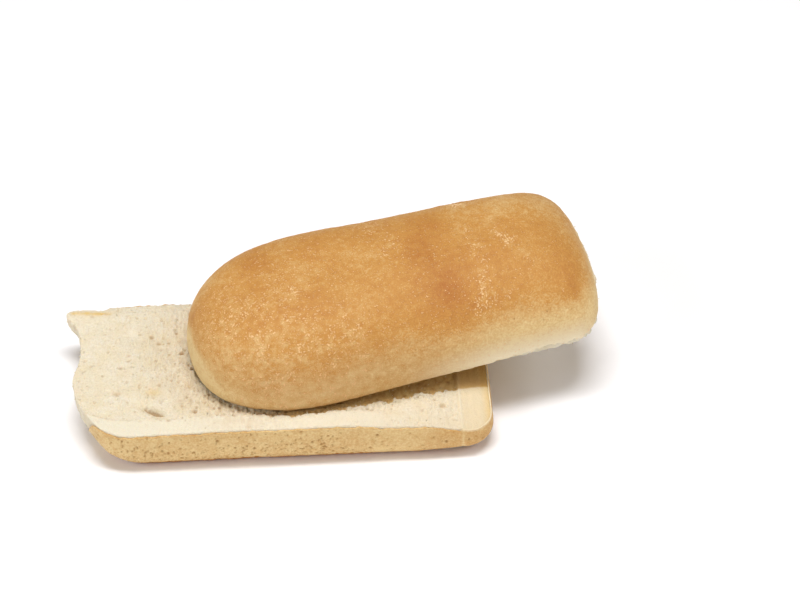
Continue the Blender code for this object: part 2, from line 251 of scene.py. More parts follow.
# painted shade in the hollows of the crumb's fine fuzz
PAINTED_FUZZ_SHADE_CRUMB = "CFC3A4"
SMOOTH_CRUMB = "E0DAC6"
# real tan crumb, and a warm painted shade in the hollow and on the strip under the top half's rim
TAN_AND_PAINTED_SHADE_CRUMB = "DDBE7C"
# painted shade in pores, the slit, the hollow and under the top half, and the browner right end of the cut
# face
PAINTED_SHADE_AND_BROWN_CRUMB = "A97B3D"

# Flour on the top half: middle along and across, half width, share of the specks
FLOUR_PATCHES = (
    (-75.0, -8.0, 22.0, 0.30), (-62.0, -36.0, 18.0, 0.34), (-49.0, -10.0, 6.0, 0.30),
    (-32.0, -36.0, 16.0, 0.30), (-2.0, 24.0, 7.0, 0.50), (0.0, 4.0, 8.0, 0.35), (43.0, 28.0, 5.0, 0.35),
    (30.0, -20.0, 28.0, 0.12), (-40.0, 10.0, 22.0, 0.18),
)
FLOUR_STREAKS = (  # lines of crinkled, floured crust across the top half
    ((37.0, 31.0), (45.5, 24.8), (48.8, 15.7), (50.2, 5.0), (52.0, -3.8), (57.4, -9.8), (58.3, -21.5)),
    ((38.0, 8.2), (40.0, -7.9), (38.9, -20.2), (37.2, -25.6), (33.1, -32.7)),
    ((47.5, -30.5), (41.0, -33.4)),
)
STREAK_WIDTH = 3.9
FLOUR_DUSTING = 0.09  # share of specks all over
# Browner patches, and paler ones under zero, two of them painted light: middle along and across, half width,
# depth of colour
TOAST_PATCHES_AND_PAINTED_LIGHT = (
    (23.6, 13.6, 9.0, 0.14), (11.7, -1.6, 9.0, 0.18), (21.0, -26.0, 9.0, 0.18), (-33.0, 17.6, 10.0, 0.12),
    (-60.0, 14.0, 9.0, 0.14), (-66.0, -16.0, 16.0, 0.10), (-88.0, 8.0, 8.0, 0.12),
    # (60, 14) is a painted highlight at the back of the torn half; (-84, -26) is painted light low on the
    # round end's front
    (60.0, 14.0, 18.0, -0.08), (-84.0, -26.0, 14.0, -0.14), (46.0, 0.0, 9.0, 0.08),
    (47.0, -16.0, 8.0, 0.08), (34.5, -10.3, 8.0, 0.12), (78.0, -35.6, 4.0, 0.22), (30.0, -15.0, 40.0, 0.10),
)

# Studio, in metres, and its lens and sensor in millimetres
FLOOR_REACH = 3.0
WHITE_BOARD = "F8F9FD"
LENS = 85.0
SENSOR_WIDTH = 36.0
CAMERA_PLACE = (-0.0050, -0.6359, 0.6561)
CAMERA_AIM = (0.0353, 0.0423, 0.0)
STUDIO_LIGHTS = (  # name, place, power in watts, width, depth and colour
    ("overhead_softbox", (0.02, 0.08, 1.35), 15.3, 0.80, 0.25, "FFFFFF"),
    ("left_softbox", (-1.20, -0.45, 0.75), 8.4, 0.60, 0.80, "FFFFFF"),
    ("right_softbox", (1.25, -0.05, 1.10), 4.6, 0.60, 0.60, "FFFFFF"),
    ("low_front_fill", (0.50, -1.45, 0.40), 6.8, 1.20, 0.50, "FFF2E0"),
)
SURROUNDINGS = ("FFD3A2", 0.11)  # colour and strength


# ---------------------------------------------------------------- plain maths

def unit(value):
    """The value, kept between 0 and 1."""
    return np.clip(value, 0.0, 1.0)


def ease(value, start, end):
    """0 before start, 1 past end, with an S-shaped rise between."""
    t = unit((value - start) / (end - start))
    return t * t * (3.0 - 2.0 * t)


def fade(value, start, end):
    """1 before start, 0 past end, with an S-shaped fall between."""
    return 1.0 - ease(value, start, end)


def bump(value, centre, half_width):
    """A bell of height 1 at centre."""
    return np.exp(-((value - centre) / half_width) ** 2)


def turned_axes(x, y, centre, turn):
    """How far plan points lie from a centre, along a turned direction and across it."""
    away_x, away_y = x - centre[0], y - centre[1]
    along = away_x * math.cos(turn) + away_y * math.sin(turn)
    across = away_y * math.cos(turn) - away_x * math.sin(turn)
    return along, across


def lattice_noise(points, cell, seed):
    """Seeded random values on a cubic lattice of the given cell, eased between its corners, from -1 to 1."""
    table = np.random.default_rng(seed).uniform(-1.0, 1.0, (NOISE_TABLE,) * 3)
    places = (points + NOISE_ORIGIN) / cell
    low = np.floor(places).astype(int)
    t = places - low
    t = t * t * (3.0 - 2.0 * t)
    total = np.zeros(points.shape[:-1])
    for corner in itertools.product((0, 1), repeat=3):
        index = (low + np.array(corner)) % NOISE_TABLE
        share = np.prod(np.where(np.array(corner) == 1, t, 1.0 - t), axis=-1)
        total += share * table[index[..., 0], index[..., 1], index[..., 2]]
    return total


def bubbles(points, cell, radii, share, seed):
    """Round bubbles cut open by a surface.

    Each cube of a lattice may hold one bubble, with a random middle and radius. The value at a point is one
    less the square of its distance from the nearest middle over that bubble's radius, and never under 0.
    """
    table = np.random.default_rng(seed).uniform(0.0, 1.0, (BUBBLE_TABLE,) * 3 + (5,)).astype(np.float32)
    low = np.floor(points / cell).astype(int)
    within = (points / cell - low).astype(np.float32)
    deepest = np.zeros(points.shape[:-1], np.float32)
    for step in itertools.product((-1, 0, 1), repeat=3):
        index = (low + np.array(step)) % BUBBLE_TABLE
        draw = table[index[..., 0], index[..., 1], index[..., 2]]
        away = (within - draw[..., :3] - np.array(step, np.float32)) * cell
        radius = radii[0] + (radii[1] - radii[0]) * draw[..., 3] ** 2
        depth = unit(1.0 - (away ** 2).sum(axis=-1) / radius ** 2)
        deepest = np.maximum(deepest, depth * (draw[..., 4] < share))
    return deepest.astype(float)


def normals_of(grid):
    """Unit normals of a grid of points: the cross product of its two directions."""
    normal = np.cross(np.gradient(grid, axis=0), np.gradient(grid, axis=1))
    return normal / np.maximum(np.linalg.norm(normal, axis=-1, keepdims=True), 1e-9)


def even_samples(line, count):
    """Positions along a densely sampled line, from 0 to 1, that cut it into pieces of one length."""
    steps = np.linalg.norm(np.diff(line, axis=0), axis=1)
    walked = np.concatenate([[0.0], np.cumsum(steps)])
    return np.interp(np.linspace(0.0, walked[-1], count), walked, np.linspace(0.0, 1.0, len(line)))


# ---------------------------------------------------------------- faces

def grid_faces(rows, columns):
    """Quads of a grid of points stored row by row along +y, facing up."""
    first = (np.arange(rows - 1)[:, None] * columns + np.arange(columns - 1)).ravel()
    return np.stack([first, first + 1, first + columns + 1, first + columns], axis=1)


def border_indices(rows, columns):
    """Indices of a grid's border, anticlockwise seen from above."""
    front = np.arange(columns)
    right = np.arange(1, rows) * columns + columns - 1
    back = (rows - 1) * columns + np.arange(columns - 2, -1, -1)
    left = np.arange(rows - 2, 0, -1) * columns
    return np.concatenate([front, right, back, left])


def ring_faces(upper, lower):
    """Quads between an upper ring of indices and the ring below it, facing outwards."""
    return np.stack([lower, np.roll(lower, -1), np.roll(upper, -1), upper], axis=1)


def strip_faces(ring, rows, columns):
    """Faces inside a grid's border loop, facing down: strips from front to back and a fan at each end."""
    front = ring[:columns]
    right = ring[columns - 1:columns + rows - 1]
    back = ring[columns + rows - 2:2 * columns + rows - 2][::-1]
    left = ring[2 * columns + rows - 3:]
    quads = np.stack([front[:-1], back[:-1], back[1:], front[1:]], axis=1)
    right_fan = np.stack([np.full(rows - 2, right[0]), right[2:], right[1:-1]], axis=1)
    left_fan = np.stack([np.full(rows - 2, ring[0]), left[1:rows - 1], left[:rows - 2]], axis=1)
    return quads, np.concatenate([right_fan, left_fan])


def loft_faces(count, around):
    """Quads between sections that are closed loops, which follow each other along +x."""
    first = np.arange(count - 1)[:, None] * around
    here = np.arange(around)[None, :]
    after = (here + 1) % around
    corners = [first + here, first + around + here, first + around + after, first + after]
    return np.stack([corner.ravel() for corner in corners], axis=1)


# ---------------------------------------------------------------- pieces

def add_piece(name, points, quads, triangles, material, attributes=None):
    """Make a smooth mesh piece from points in millimetres, with its material and point attributes."""
    mesh = bpy.data.meshes.new(name)
    corners = np.concatenate([np.asarray(quads, int).ravel(), np.asarray(triangles, int).ravel()])
    sizes = np.concatenate([np.full(len(quads), 4), np.full(len(triangles), 3)])
    mesh.vertices.add(len(points))
    mesh.vertices.foreach_set("co", (points * MM).astype(np.float32).ravel())
    mesh.loops.add(len(corners))
    mesh.loops.foreach_set("vertex_index", corners.astype(np.int32))
    mesh.polygons.add(len(sizes))
    mesh.polygons.foreach_set("loop_start", (np.cumsum(sizes) - sizes).astype(np.int32))
    mesh.update(calc_edges=True)
    mesh.validate()
    mesh.shade_smooth()
    for title, values in (attributes or {}).items():
        mesh.attributes.new(title, "FLOAT", "POINT").data.foreach_set("value", values.astype(np.float32))
    mesh.materials.append(material)
    piece = bpy.data.objects.new(name, mesh)
    bpy.context.scene.collection.objects.link(piece)
    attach(piece, "root")
    return piece


# ---------------------------------------------------------------- form of the bottom half

def base_grid(cells):
    """u and v of a plan grid, and the indices of its border."""
    columns, rows = cells[0] + 1, cells[1] + 1
    v, u = np.meshgrid(np.linspace(-1.0, 1.0, rows), np.linspace(-1.0, 1.0, columns), indexing="ij")
    return u, v, border_indices(rows, columns)


def round_plan(u, v):
    """Grid coordinates from -1 to 1 to a rectangle whose corner squares are pressed into quarter discs."""
    x = u * BASE_LENGTH / 2.0
    y = v * BASE_WIDTH / 2.0
    for side_x, side_y, radius in BASE_CORNERS:
        in_x = unit((side_x * x - BASE_LENGTH / 2.0) / radius + 1.0)
        in_y = unit((side_y * y - BASE_WIDTH / 2.0) / radius + 1.0)
        x = x - side_x * radius * in_x * (1.0 - np.sqrt(1.0 - in_y ** 2 / 2.0))
        y = y - side_y * radius * in_y * (1.0 - np.sqrt(1.0 - in_x ** 2 / 2.0))
    return x, y


def base_plan(u, v):
    """The bottom half's plan: its left and back edges take the torn shape, which fades out inwards."""
    x, y = round_plan(u, v)
    stand_out = sum(reach * bump(y, place, half_width) for place, half_width, reach in TORN_EDGE)
    x = x - stand_out * ((1.0 - u) / 2.0) ** TORN_REACH
    step = BACK_STEP * fade(x, *BACK_STEP_SPAN)
    y = y - step * ((1.0 + v) / 2.0) ** TORN_REACH
    return x, y


def base_cut_height(x, y):
    """Height of the bottom half's cut face.

    A plane that drops towards the front and back rims and towards both ends, less a slow wave, a slit and a
    few shallow dents, plus the raised ear at the torn corner.
    """
    to_edge = np.minimum(BASE_WIDTH / 2.0 - np.abs(y), BASE_LENGTH / 2.0 - x)
    height = BASE_HEIGHT - RIM_DROP * unit(1.0 - to_edge / RIM_WIDTH) ** 2
    height = height - END_DIP * ease(x, END_DIP_FROM, BASE_LENGTH / 2.0)
    frontness = fade(y, -BASE_WIDTH / 2.0, 0.0)
    height = height - FRONT_DIP * ease(x, *FRONT_DIP_SPAN) * frontness
    height = height - LEFT_DIP * fade(x, -BASE_LENGTH / 2.0, -BASE_LENGTH / 4.0) * frontness
    wave_x, wave_y, wave_skew = CUT_WAVE_SCALE
    wave = np.sin(x / wave_x + 1.0) * np.cos(y / wave_y + x / wave_skew)
    height = height - CUT_WAVE * (0.5 + 0.5 * wave)
    height = height - SLIT_DEPTH * slit_shape(x, y)
    for dent_x, dent_y, half_width in DENTS:
        height = height - DENT_DEPTH * bump(x, dent_x, half_width) * bump(y, dent_y, half_width)
    return height + EAR_RISE * bump(x, EAR_CENTRE[0], EAR_SIZE[0]) * bump(y, EAR_CENTRE[1], EAR_SIZE[1])


def slit_shape(x, y):
    """A long bell, 1 at the middle of the slit."""
    along, across = turned_axes(x, y, SLIT_CENTRE, SLIT_TURN)
    return bump(along, 0.0, SLIT_SIZE[0]) * bump(across, 0.0, SLIT_SIZE[1])


def base_foot(u, v):
    """The plan where the wall meets the floor: the plain plan drawn in, most of all under the torn end."""
    x, y = round_plan(u, v)
    inset = np.where(x < 0.0, LEFT_FOOT_INSET, FOOT_INSET)
    foot_x = x - inset * (x / (BASE_LENGTH / 2.0)) ** 3
    foot_y = y * (1.0 - FOOT_INSET / (BASE_WIDTH / 2.0))
    lift = UNDERSIDE_LIFT * ease(x, UNDERSIDE_LIFT_FROM, BASE_LENGTH / 2.0)
    return np.stack([foot_x, foot_y, lift], axis=-1)


def outward_of(loop):
    """Horizontal unit normals of an anticlockwise loop of points."""
    along = np.roll(loop, -1, axis=0)[:, :2] - np.roll(loop, 1, axis=0)[:, :2]
    outward = np.stack([along[:, 1], -along[:, 0]], axis=1)
    return outward / np.linalg.norm(outward, axis=1)[:, None]


def base_wall(rim, foot, depth):
    """The wall's points, for a grid of shares of the way down with one column for each point of the rim.

    It bulges at mid height and turns in at the foot. Under the torn end it slopes in sooner and is craggy.
    """
    leftness = fade(foot[:, 0], -BASE_LENGTH / 2.0, -BASE_LENGTH / 2.0 + LEFT_FOOT_REACH)
    turn_in = depth ** (FOOT_POWER + (LEFT_FOOT_POWER - FOOT_POWER) * leftness)
    wall = rim + (foot - rim) * np.stack([turn_in, turn_in, depth], axis=-1)
    wall[..., :2] += outward_of(foot) * WALL_BULGE * np.sin(math.pi * depth)[..., None]
    crags = CRAG_HEIGHT * lattice_noise(wall, CRAG_CELL, seed=5)
    wall[..., 0] -= crags * leftness * np.sin(math.pi * depth)
    return wall


def torn_share(x, y):
    """1 along the torn left end of the bottom half, 0 where it has crust."""
    return fade(x, *TORN_END_FADE) * ease(y, *TORN_FRONT_RISE)


# ---------------------------------------------------------------- form of the top half

def end_rounding(x, rounding):
    """Share of the full size left at x, falling to nothing at the end along a superellipse."""
    length, power = rounding
    inwards = unit((np.abs(x) - TOP_LENGTH / 2.0) / length + 1.0)
    return (1.0 - inwards ** power) ** (1.0 / power)


def curl(x):
    """How far the top half's cut edge is lifted at x, because the torn end curls up."""
    return CURL * unit((x - CURL_FROM) / (TOP_LENGTH / 2.0 - CURL_FROM)) ** CURL_POWER


def top_half_width(x):
    """Half the top half's width at x."""
    end = np.where(x > 0.0, end_rounding(x, TORN_END_PLAN), end_rounding(x, ROUND_END_PLAN))
    return TOP_WIDTH / 2.0 * end


def top_height(x):
    """The dome's height over its rims at x."""
    share = np.where(x > 0.0, end_rounding(x, TORN_END_SIDE), end_rounding(x, ROUND_END_SIDE))
    return TOP_HEIGHT * share * (1.0 - TOP_FALL * x / (TOP_LENGTH / 2.0))


def top_dome(x, turn, inset=0.0):
    """Point of the dome at station x, for a turn from 0 at the front rim to pi at the back rim.

    The section is a superellipse whose width and height follow the end roundings. Its foot tucks in under the
    widest line, and the whole section rises with the curl. Towards the torn end the top drops and the section
    is skewed, both by the square of the way there. An inset draws the dome in on all sides.
    """
    blend = 0.5 + 0.5 * np.tanh(x / SECTION_BLEND)
    power = SECTION_POWER[0] * (1.0 - blend) + SECTION_POWER[1] * blend
    cosine = np.cos(turn)
    across = -np.sign(cosine) * np.abs(cosine) ** (2.0 / power) * top_half_width(x)
    up = unit(np.sin(turn)) ** (2.0 / power) * top_height(x)
    tuck = TUCK * unit(1.0 - up / TUCK_HEIGHT) ** 2
    across = across * (1.0 - (tuck + inset) / (TOP_WIDTH / 2.0))
    along = x * (1.0 - (tuck + inset) / (TOP_LENGTH / 2.0))
    wave_x, wave_y, wave_skew = TOP_WAVE_SCALE
    wave = TOP_WAVE * np.sin(along / wave_x + 0.7) * np.cos(across / wave_y - along / wave_skew)
    up = (up + wave * unit(up / TOP_HEIGHT)) * (1.0 - inset / TOP_HEIGHT)
    across = across + SIDE_CURVE * (1.0 - (along / (TOP_LENGTH / 2.0)) ** 2)
    near_end = unit((along - END_SHAPE_FROM) / (TOP_LENGTH / 2.0 - END_SHAPE_FROM)) ** 2
    up = up * (1.0 - END_DROP / TOP_HEIGHT * near_end)
    skewed = along + END_SKEW * near_end * across / (TOP_WIDTH / 2.0)
    return np.stack([skewed, across, up + curl(along)], axis=-1)


def top_underside(front_rim, back_rim, share):
    """Point of the top half's cut face at a share of the way from the back rim to the front rim.

    Between the rims the crumb sags from the curled edge down to the level of the flat part.
    """
    point = back_rim * (1.0 - share[..., None]) + front_rim * share[..., None]
    x = point[..., 0]
    sagging = 1.0 - (1.0 - SAG_LEFT) * ease(x, *SAG_SPAN)
    belly = (4.0 * share * (1.0 - share)) ** BELLY_POWER
    point[..., 2] -= curl(x) * sagging * belly
    wave = 0.5 + 0.5 * np.sin(x / CRUMB_WAVE_SCALE[0]) * np.cos(point[..., 1] / CRUMB_WAVE_SCALE[1])
    point[..., 2] += CRUMB_WAVE * wave * belly
    return point


def torn_crags(points):
    """How far the torn end of the top half stands in or out along x, by a seeded noise."""
    depth = CRAG_HEIGHT * lattice_noise(points, CRAG_CELL, seed=3)
    depth = depth + CRAG_HEIGHT / 2.0 * lattice_noise(points, CRAG_CELL / 2.0, seed=4)
    return depth * ease(points[..., 0], CRAG_FROM, TOP_LENGTH / 2.0)


def even_turns(count):
    """Turns round the dome that put its points at one spacing in the middle section."""
    dense = np.linspace(0.0, 1.0, DENSE_SAMPLES)
    turns = math.pi * (dense - np.sin(2.0 * math.pi * dense) / (2.0 * math.pi))
    line = top_dome(np.zeros_like(turns), turns)
    return np.interp(even_samples(line, count), dense, turns)


def even_stations(count):
    """Stations along the top half at one spacing along its outline, without the two tips."""
    dense = np.linspace(0.0, 1.0, DENSE_SAMPLES)
    half = TOP_LENGTH / 2.0
    places = -half * np.cos(math.pi * dense)
    line = np.stack([places, top_half_width(places), top_height(places)], axis=1)
    return np.interp(even_samples(line, count + 2), dense, places)[1:-1]


def crust_edge(turn):
    """Where along x the crust of the top half ends at its torn end: a line that wanders by two noises."""
    round_line = CRUST_EDGE_LOOP * np.stack([np.cos(turn), np.sin(turn), np.zeros_like(turn)], axis=-1)
    wander = lattice_noise(round_line, 7.0, seed=11)
    wander = wander + 0.5 * lattice_noise(round_line, 2.5, seed=12)
    return TOP_LENGTH / 2.0 - TORN_CRUST_EDGE + TORN_CRUST_WANDER * wander


def crust_inset(turn):
    """The crust's thickness round the dome: thin where it is cut, full over the top."""
    return CRUST_EDGE + (CRUST_THICKNESS - CRUST_EDGE) * np.sqrt(unit(np.sin(turn)))


def place_top(points):
    """Turn the top half about the vertical and set it down on the bottom half's cut face."""
    placed = points.copy()
    x, y = points[..., 0], points[..., 1]
    placed[..., 0] = TOP_PLACE[0] + x * math.cos(TOP_TURN) - y * math.sin(TOP_TURN)
    placed[..., 1] = TOP_PLACE[1] + x * math.sin(TOP_TURN) + y * math.cos(TOP_TURN)
    placed[..., 2] = points[..., 2] + BASE_HEIGHT + REST_GAP
    return placed


def frame_shift():
    """From the bottom half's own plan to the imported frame: its box's right and front sides have to agree."""
    low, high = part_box("bottom_half")
    u, v, ring = base_grid(WALL_GRID)
    rim_u, rim_v = u.ravel()[ring], v.ravel()[ring]
    x, y = base_plan(rim_u, rim_v)
    rim = np.stack([x, y, base_cut_height(x, y)], axis=-1)
    depth = np.linspace(0.0, 1.0, SHIFT_ROWS)[:, None] + np.zeros(len(ring))
    wall = base_wall(rim, base_foot(rim_u, rim_v), depth)
    return np.array([high.x / MM - wall[..., 0].max(), low.y / MM - wall[..., 1].min(), 0.0])


# ---------------------------------------------------------------- relief

def crust_relief(points, seed):
    """Baked crust over a plain surface: broad swells, dimples and a fine grain, as summed noises."""
    return sum(
        height * lattice_noise(points, cell, seed + order)
        for order, (cell, height) in enumerate(CRUST_SWELLS))


def crumb_pores(points, seed):
    """Open pores of crumb, from 0 to 1: the deepest of a few large, more middling and many small bubbles."""
    return np.max([
        depth * bubbles(points, cell, (smallest, largest), share, seed + order)
        for order, (cell, smallest, largest, share, depth) in enumerate(CRUMB_BUBBLES)], axis=0)


def crumb_fibres(points, seed):
    """The torn fuzz between pores, from -1 to 1: a fine noise drawn out along y, plus coarser ridges."""
    fine = lattice_noise(points / FINE_FIBRE, 1.0, seed)
    ridges = 1.0 - 2.0 * np.abs(lattice_noise(points / COARSE_FIBRE, 1.0, seed + 1))
    return 0.6 * fine + 0.4 * ridges


def near_path(points, path, half_width):
    """A bell across a bent line of plan points: 1 on the line."""
    nearest = np.full(points.shape[:-1], np.inf)
    for start, end in itertools.pairwise(np.asarray(path, float)):
        away = points[..., :2] - start
        share = unit(away @ (end - start) / ((end - start) @ (end - start)))
        nearest = np.minimum(nearest, np.linalg.norm(away - share[..., None] * (end - start), axis=-1))
    return bump(nearest, 0.0, half_width)


def sum_of_spots(points, spots):
    """Sum of round bells on the plan, each given by its middle, half width and height."""
    return sum(
        height * bump(points[..., 0], x, half_width) * bump(points[..., 1], y, half_width)
        for x, y, half_width, height in spots)


# ---------------------------------------------------------------- materials

def linear(code):
    """An sRGB hex colour as linear red, green, blue and alpha."""
    values = [int(code[i:i + 2], 16) / 255.0 for i in (0, 2, 4)]
    return [v / 12.92 if v <= 0.04045 else ((v + 0.055) / 1.055) ** 2.4 for v in values] + [1.0]


def add_node(material, kind, inputs=None, **settings):
    """Add one shader node, set its properties, and give its inputs their values or links."""
    node = material.node_tree.nodes.new(kind)
    for name, value in settings.items():
        setattr(node, name, value)
    for name, value in (inputs or {}).items():
        if isinstance(value, bpy.types.NodeSocket):
            material.node_tree.links.new(value, node.inputs[name])
        else:
            node.inputs[name].default_value = value
    return node


def new_material(name):
    """An empty node material with a Principled shader wired to its output, and its object coordinates."""
    material = bpy.data.materials.new(name)
    material.use_nodes = True
    material.node_tree.nodes.clear()
    shader = add_node(material, "ShaderNodeBsdfPrincipled")
    add_node(material, "ShaderNodeOutputMaterial", {"Surface": shader.outputs["BSDF"]})
    place = add_node(material, "ShaderNodeTexCoord").outputs["Object"]
    return material, shader, place


def painted(material, base, layers):
    """A base colour with layers over it, each a mask and a colour."""
    color = linear(base)
    for mask, code in layers:
        mixed = add_node(material, "ShaderNodeMix", {0: mask, 6: color, 7: linear(code)}, data_type="RGBA")
        color = mixed.outputs[2]
    return color


def round_specks(material, place, cell, reach, share):
    """A mask of round specks: one in each random cell whose own random number is under the share.

    A speck fades out at its reach, which is a share of the cell's size, and each has its own strength.
    """
    cells = add_node(material, "ShaderNodeTexVoronoi", {"Vector": place, "Scale": 1.0 / (cell * MM)})
    random = add_node(material, "ShaderNodeSeparateColor", {0: cells.outputs["Color"]})
    chosen = add_node(
        material, "ShaderNodeMath", {0: random.outputs["Red"], 1: share}, operation="LESS_THAN")
    strength = add_node(
        material, "ShaderNodeMapRange", {"Value": random.outputs["Green"], "To Min": 0.1, "To Max": 0.7})
    disc = add_node(
        material, "ShaderNodeMapRange",
        {"Value": cells.outputs["Distance"], "From Min": reach, "From Max": 0.3 * reach})
    mask = chosen.outputs[0]
    for factor in (strength, disc):
        product = add_node(
            material, "ShaderNodeMath", {0: mask, 1: factor.outputs["Result"]}, operation="MULTIPLY")
        mask = product.outputs[0]
    return mask


def flecks(material, place, size, share):
    """A mask of uneven flecks: where a fine noise plus a part of the share passes a level."""
    texture = add_node(
        material, "ShaderNodeTexNoise", {"Vector": place, "Scale": 1.0 / (size * MM), "Detail": 4.0})
    raised = add_node(
        material, "ShaderNodeMath", {0: share, 1: 0.30, 2: texture.outputs["Fac"]}, operation="MULTIPLY_ADD")
    kept = add_node(
        material, "ShaderNodeMapRange", {"Value": raised.outputs[0], "From Min": 0.64, "From Max": 0.76})
    return kept.outputs["Result"]


def noise(material, place, size, detail=3.0, low=0.3, high=0.7):
    """A fractal noise of the given size in millimetres, stretched so that low gives 0 and high gives 1."""
    texture = add_node(
        material, "ShaderNodeTexNoise", {"Vector": place, "Scale": 1.0 / (size * MM), "Detail": detail})
    stretched = add_node(
        material, "ShaderNodeMapRange", {"Value": texture.outputs["Fac"], "From Min": low, "From Max": high})
    return stretched.outputs["Result"]


def surface_values(material, *names):
    """Values that a piece's points carry, each under its name."""
    return [add_node(material, "ShaderNodeAttribute", attribute_name=name).outputs["Fac"] for name in names]


def baked_crust():
    """Wheat bread crust, baked dry.

    Nearly matt, golden where it took heat and pale below. Dry flour and tiny burst blisters show
    as pale specks, oven heat as brown dots and a fine mottle.
    """
    material, shader, place = new_material("baked_wheat_crust")
    toast, flour, dotted = surface_values(material, "toast", "flour", "dots")
    pit, dust, cream = surface_values(material, "pit", "dust", "cream")
    grain = noise(material, place, 0.9)
    mottled = add_node(
        material, "ShaderNodeMath",
        {0: noise(material, place, 3.4), 1: MOTTLE_DEPTH, 2: toast}, operation="MULTIPLY_ADD")
    grained = add_node(
        material, "ShaderNodeMath",
        {0: grain, 1: GRAIN_DEPTH, 2: mottled.outputs[0]}, operation="MULTIPLY_ADD")
    shade = add_node(
        material, "ShaderNodeMath",
        {0: grained.outputs[0], 1: (MOTTLE_DEPTH + GRAIN_DEPTH) / 2.0}, operation="SUBTRACT").outputs[0]
    golden = add_node(material, "ShaderNodeMapRange", {"Value": shade, "From Min": 0.0, "From Max": 0.5})
    brown = add_node(material, "ShaderNodeMapRange", {"Value": shade, "From Min": 0.5, "From Max": 1.0})
    dots = round_specks(material, place, 1.7, 0.34, dotted)
    fine_flour = flecks(material, place, 0.9, flour)
    coarse_flour = round_specks(material, place, 1.2, 0.36, flour)
    color = painted(material, PALE_CRUST, (
        (golden.outputs["Result"], GOLDEN_CRUST), (brown.outputs["Result"], BROWN_CRUST),
        (pit, PIT_CRUST), (dots, PIT_CRUST), (dust, DUSTED_CRUST), (cream, CREAM_CRUST),
        (fine_flour, FLOUR), (coarse_flour, FLOUR),
    ))
    material.node_tree.links.new(color, shader.inputs["Base Color"])
    shader.inputs["Roughness"].default_value = 0.6
    shader.inputs["IOR"].default_value = 1.45
    shader.inputs["Specular IOR Level"].default_value = 0.3
    raised = add_node(material, "ShaderNodeMath", {0: coarse_flour, 1: fine_flour}, operation="ADD")
    floured = add_node(
        material, "ShaderNodeMath", {0: raised.outputs[0], 1: 0.6, 2: grain}, operation="MULTIPLY_ADD")
    height = add_node(material, "ShaderNodeMath", {0: floured.outputs[0], 1: dots}, operation="SUBTRACT")
    relief = add_node(
        material, "ShaderNodeBump", {"Height": height.outputs[0], "Strength": 0.8, "Distance": 0.18 * MM})
    material.node_tree.links.new(relief.outputs["Normal"], shader.inputs["Normal"])
    return material


def bread_crumb():
    """Wheat bread crumb: cream, matt and porous, so light goes a little way in between the torn fibres."""
    material, shader, place = new_material("bread_crumb")
    smooth, tan, painted_shade_and_browning = surface_values(material, "smooth", "tan", "painted_shade_and_browning")
    fuzz = noise(material, place, 0.8, detail=4.0)
    # painted shade in the hollows of the fine fuzz, which the bump below sinks
    painted_shade_in_fuzz = add_node(material, "ShaderNodeMath", {0: fuzz, 1: 0.55}, operation="MULTIPLY")
    color = painted(material, CREAM_CRUMB, (
        (noise(material, place, 7.0), WARM_CRUMB), (painted_shade_in_fuzz.outputs[0], PAINTED_FUZZ_SHADE_CRUMB), (smooth, SMOOTH_CRUMB),
        (tan, TAN_AND_PAINTED_SHADE_CRUMB), (painted_shade_and_browning, PAINTED_SHADE_AND_BROWN_CRUMB),
    ))
    material.node_tree.links.new(color, shader.inputs["Base Color"])
    shader.inputs["Roughness"].default_value = 0.9
    shader.inputs["IOR"].default_value = 1.4
    shader.inputs["Subsurface Weight"].default_value = 0.2
    shader.inputs["Subsurface Radius"].default_value = (1.0, 0.7, 0.4)
    shader.inputs["Subsurface Scale"].default_value = 1.5 * MM
    relief = add_node(
        material, "ShaderNodeBump", {"Height": fuzz, "Strength": 0.8, "Distance": 0.3 * MM}, invert=True)
    material.node_tree.links.new(relief.outputs["Normal"], shader.inputs["Normal"])
    return material


def white_floor():
    """Matt white seamless backdrop board."""
    material, shader, _ = new_material("matt_white_board")
    shader.inputs["Base Color"].default_value = linear(WHITE_BOARD)
    shader.inputs["Roughness"].default_value = 0.95
    return material


# ---------------------------------------------------------------- bottom half

def outside_top_half(x, y):
    """About how far a point of the bottom half's plan lies outside the top half's plan, under zero inside it.

    The top half's plan is a superellipse round its left end and a straight band after that.
    """
    along, across = turned_axes(x, y, TOP_PLACE, TOP_TURN)
    length, power = ROUND_END_PLAN
    inwards = np.maximum(length - TOP_LENGTH / 2.0 - along, 0.0) / length
    reach = (inwards ** power + np.abs(2.0 * across / TOP_WIDTH) ** power) ** (1.0 / power)
    return (reach - 1.0) * TOP_WIDTH / 2.0


def tufted_share(x, y):
    """1 along the top half's front rim, where the cut face is torn up in tufts, 0 away from it."""
    return bump(outside_top_half(x, y), *TUFT_LINE) * ease(x, *TUFT_START) * fade(x, *TUFT_END)


def smooth_share(x, v):
    """1 on the front rim band, where the knife pressed the crumb smooth, 0 behind its wavy back edge."""
    line = np.stack([x, np.zeros_like(x), np.zeros_like(x)], axis=-1)
    wander = 1.1 * lattice_noise(line, 11.0, seed=27) + 0.5 * lattice_noise(line, 3.0, seed=28)
    from_front = (1.0 + v) / 2.0 * BASE_WIDTH + wander
    return fade(from_front, BAND_WIDTH - BAND_SOFTNESS, BAND_WIDTH + BAND_SOFTNESS) * fade(x, *BAND_FADE)


def slit_mouth(x, y):
    """The slit's crisp opening: 1 within a lens between two arcs, falling steeply to 0 at its edge."""
    along, across = turned_axes(x, y, SLIT_CENTRE, SLIT_TURN)
    reach = SLIT_MOUTH[1] * unit(1.0 - (along / SLIT_MOUTH[0]) ** 2)
    return unit(3.0 * unit(1.0 - np.abs(across) / np.maximum(reach, 0.01)))


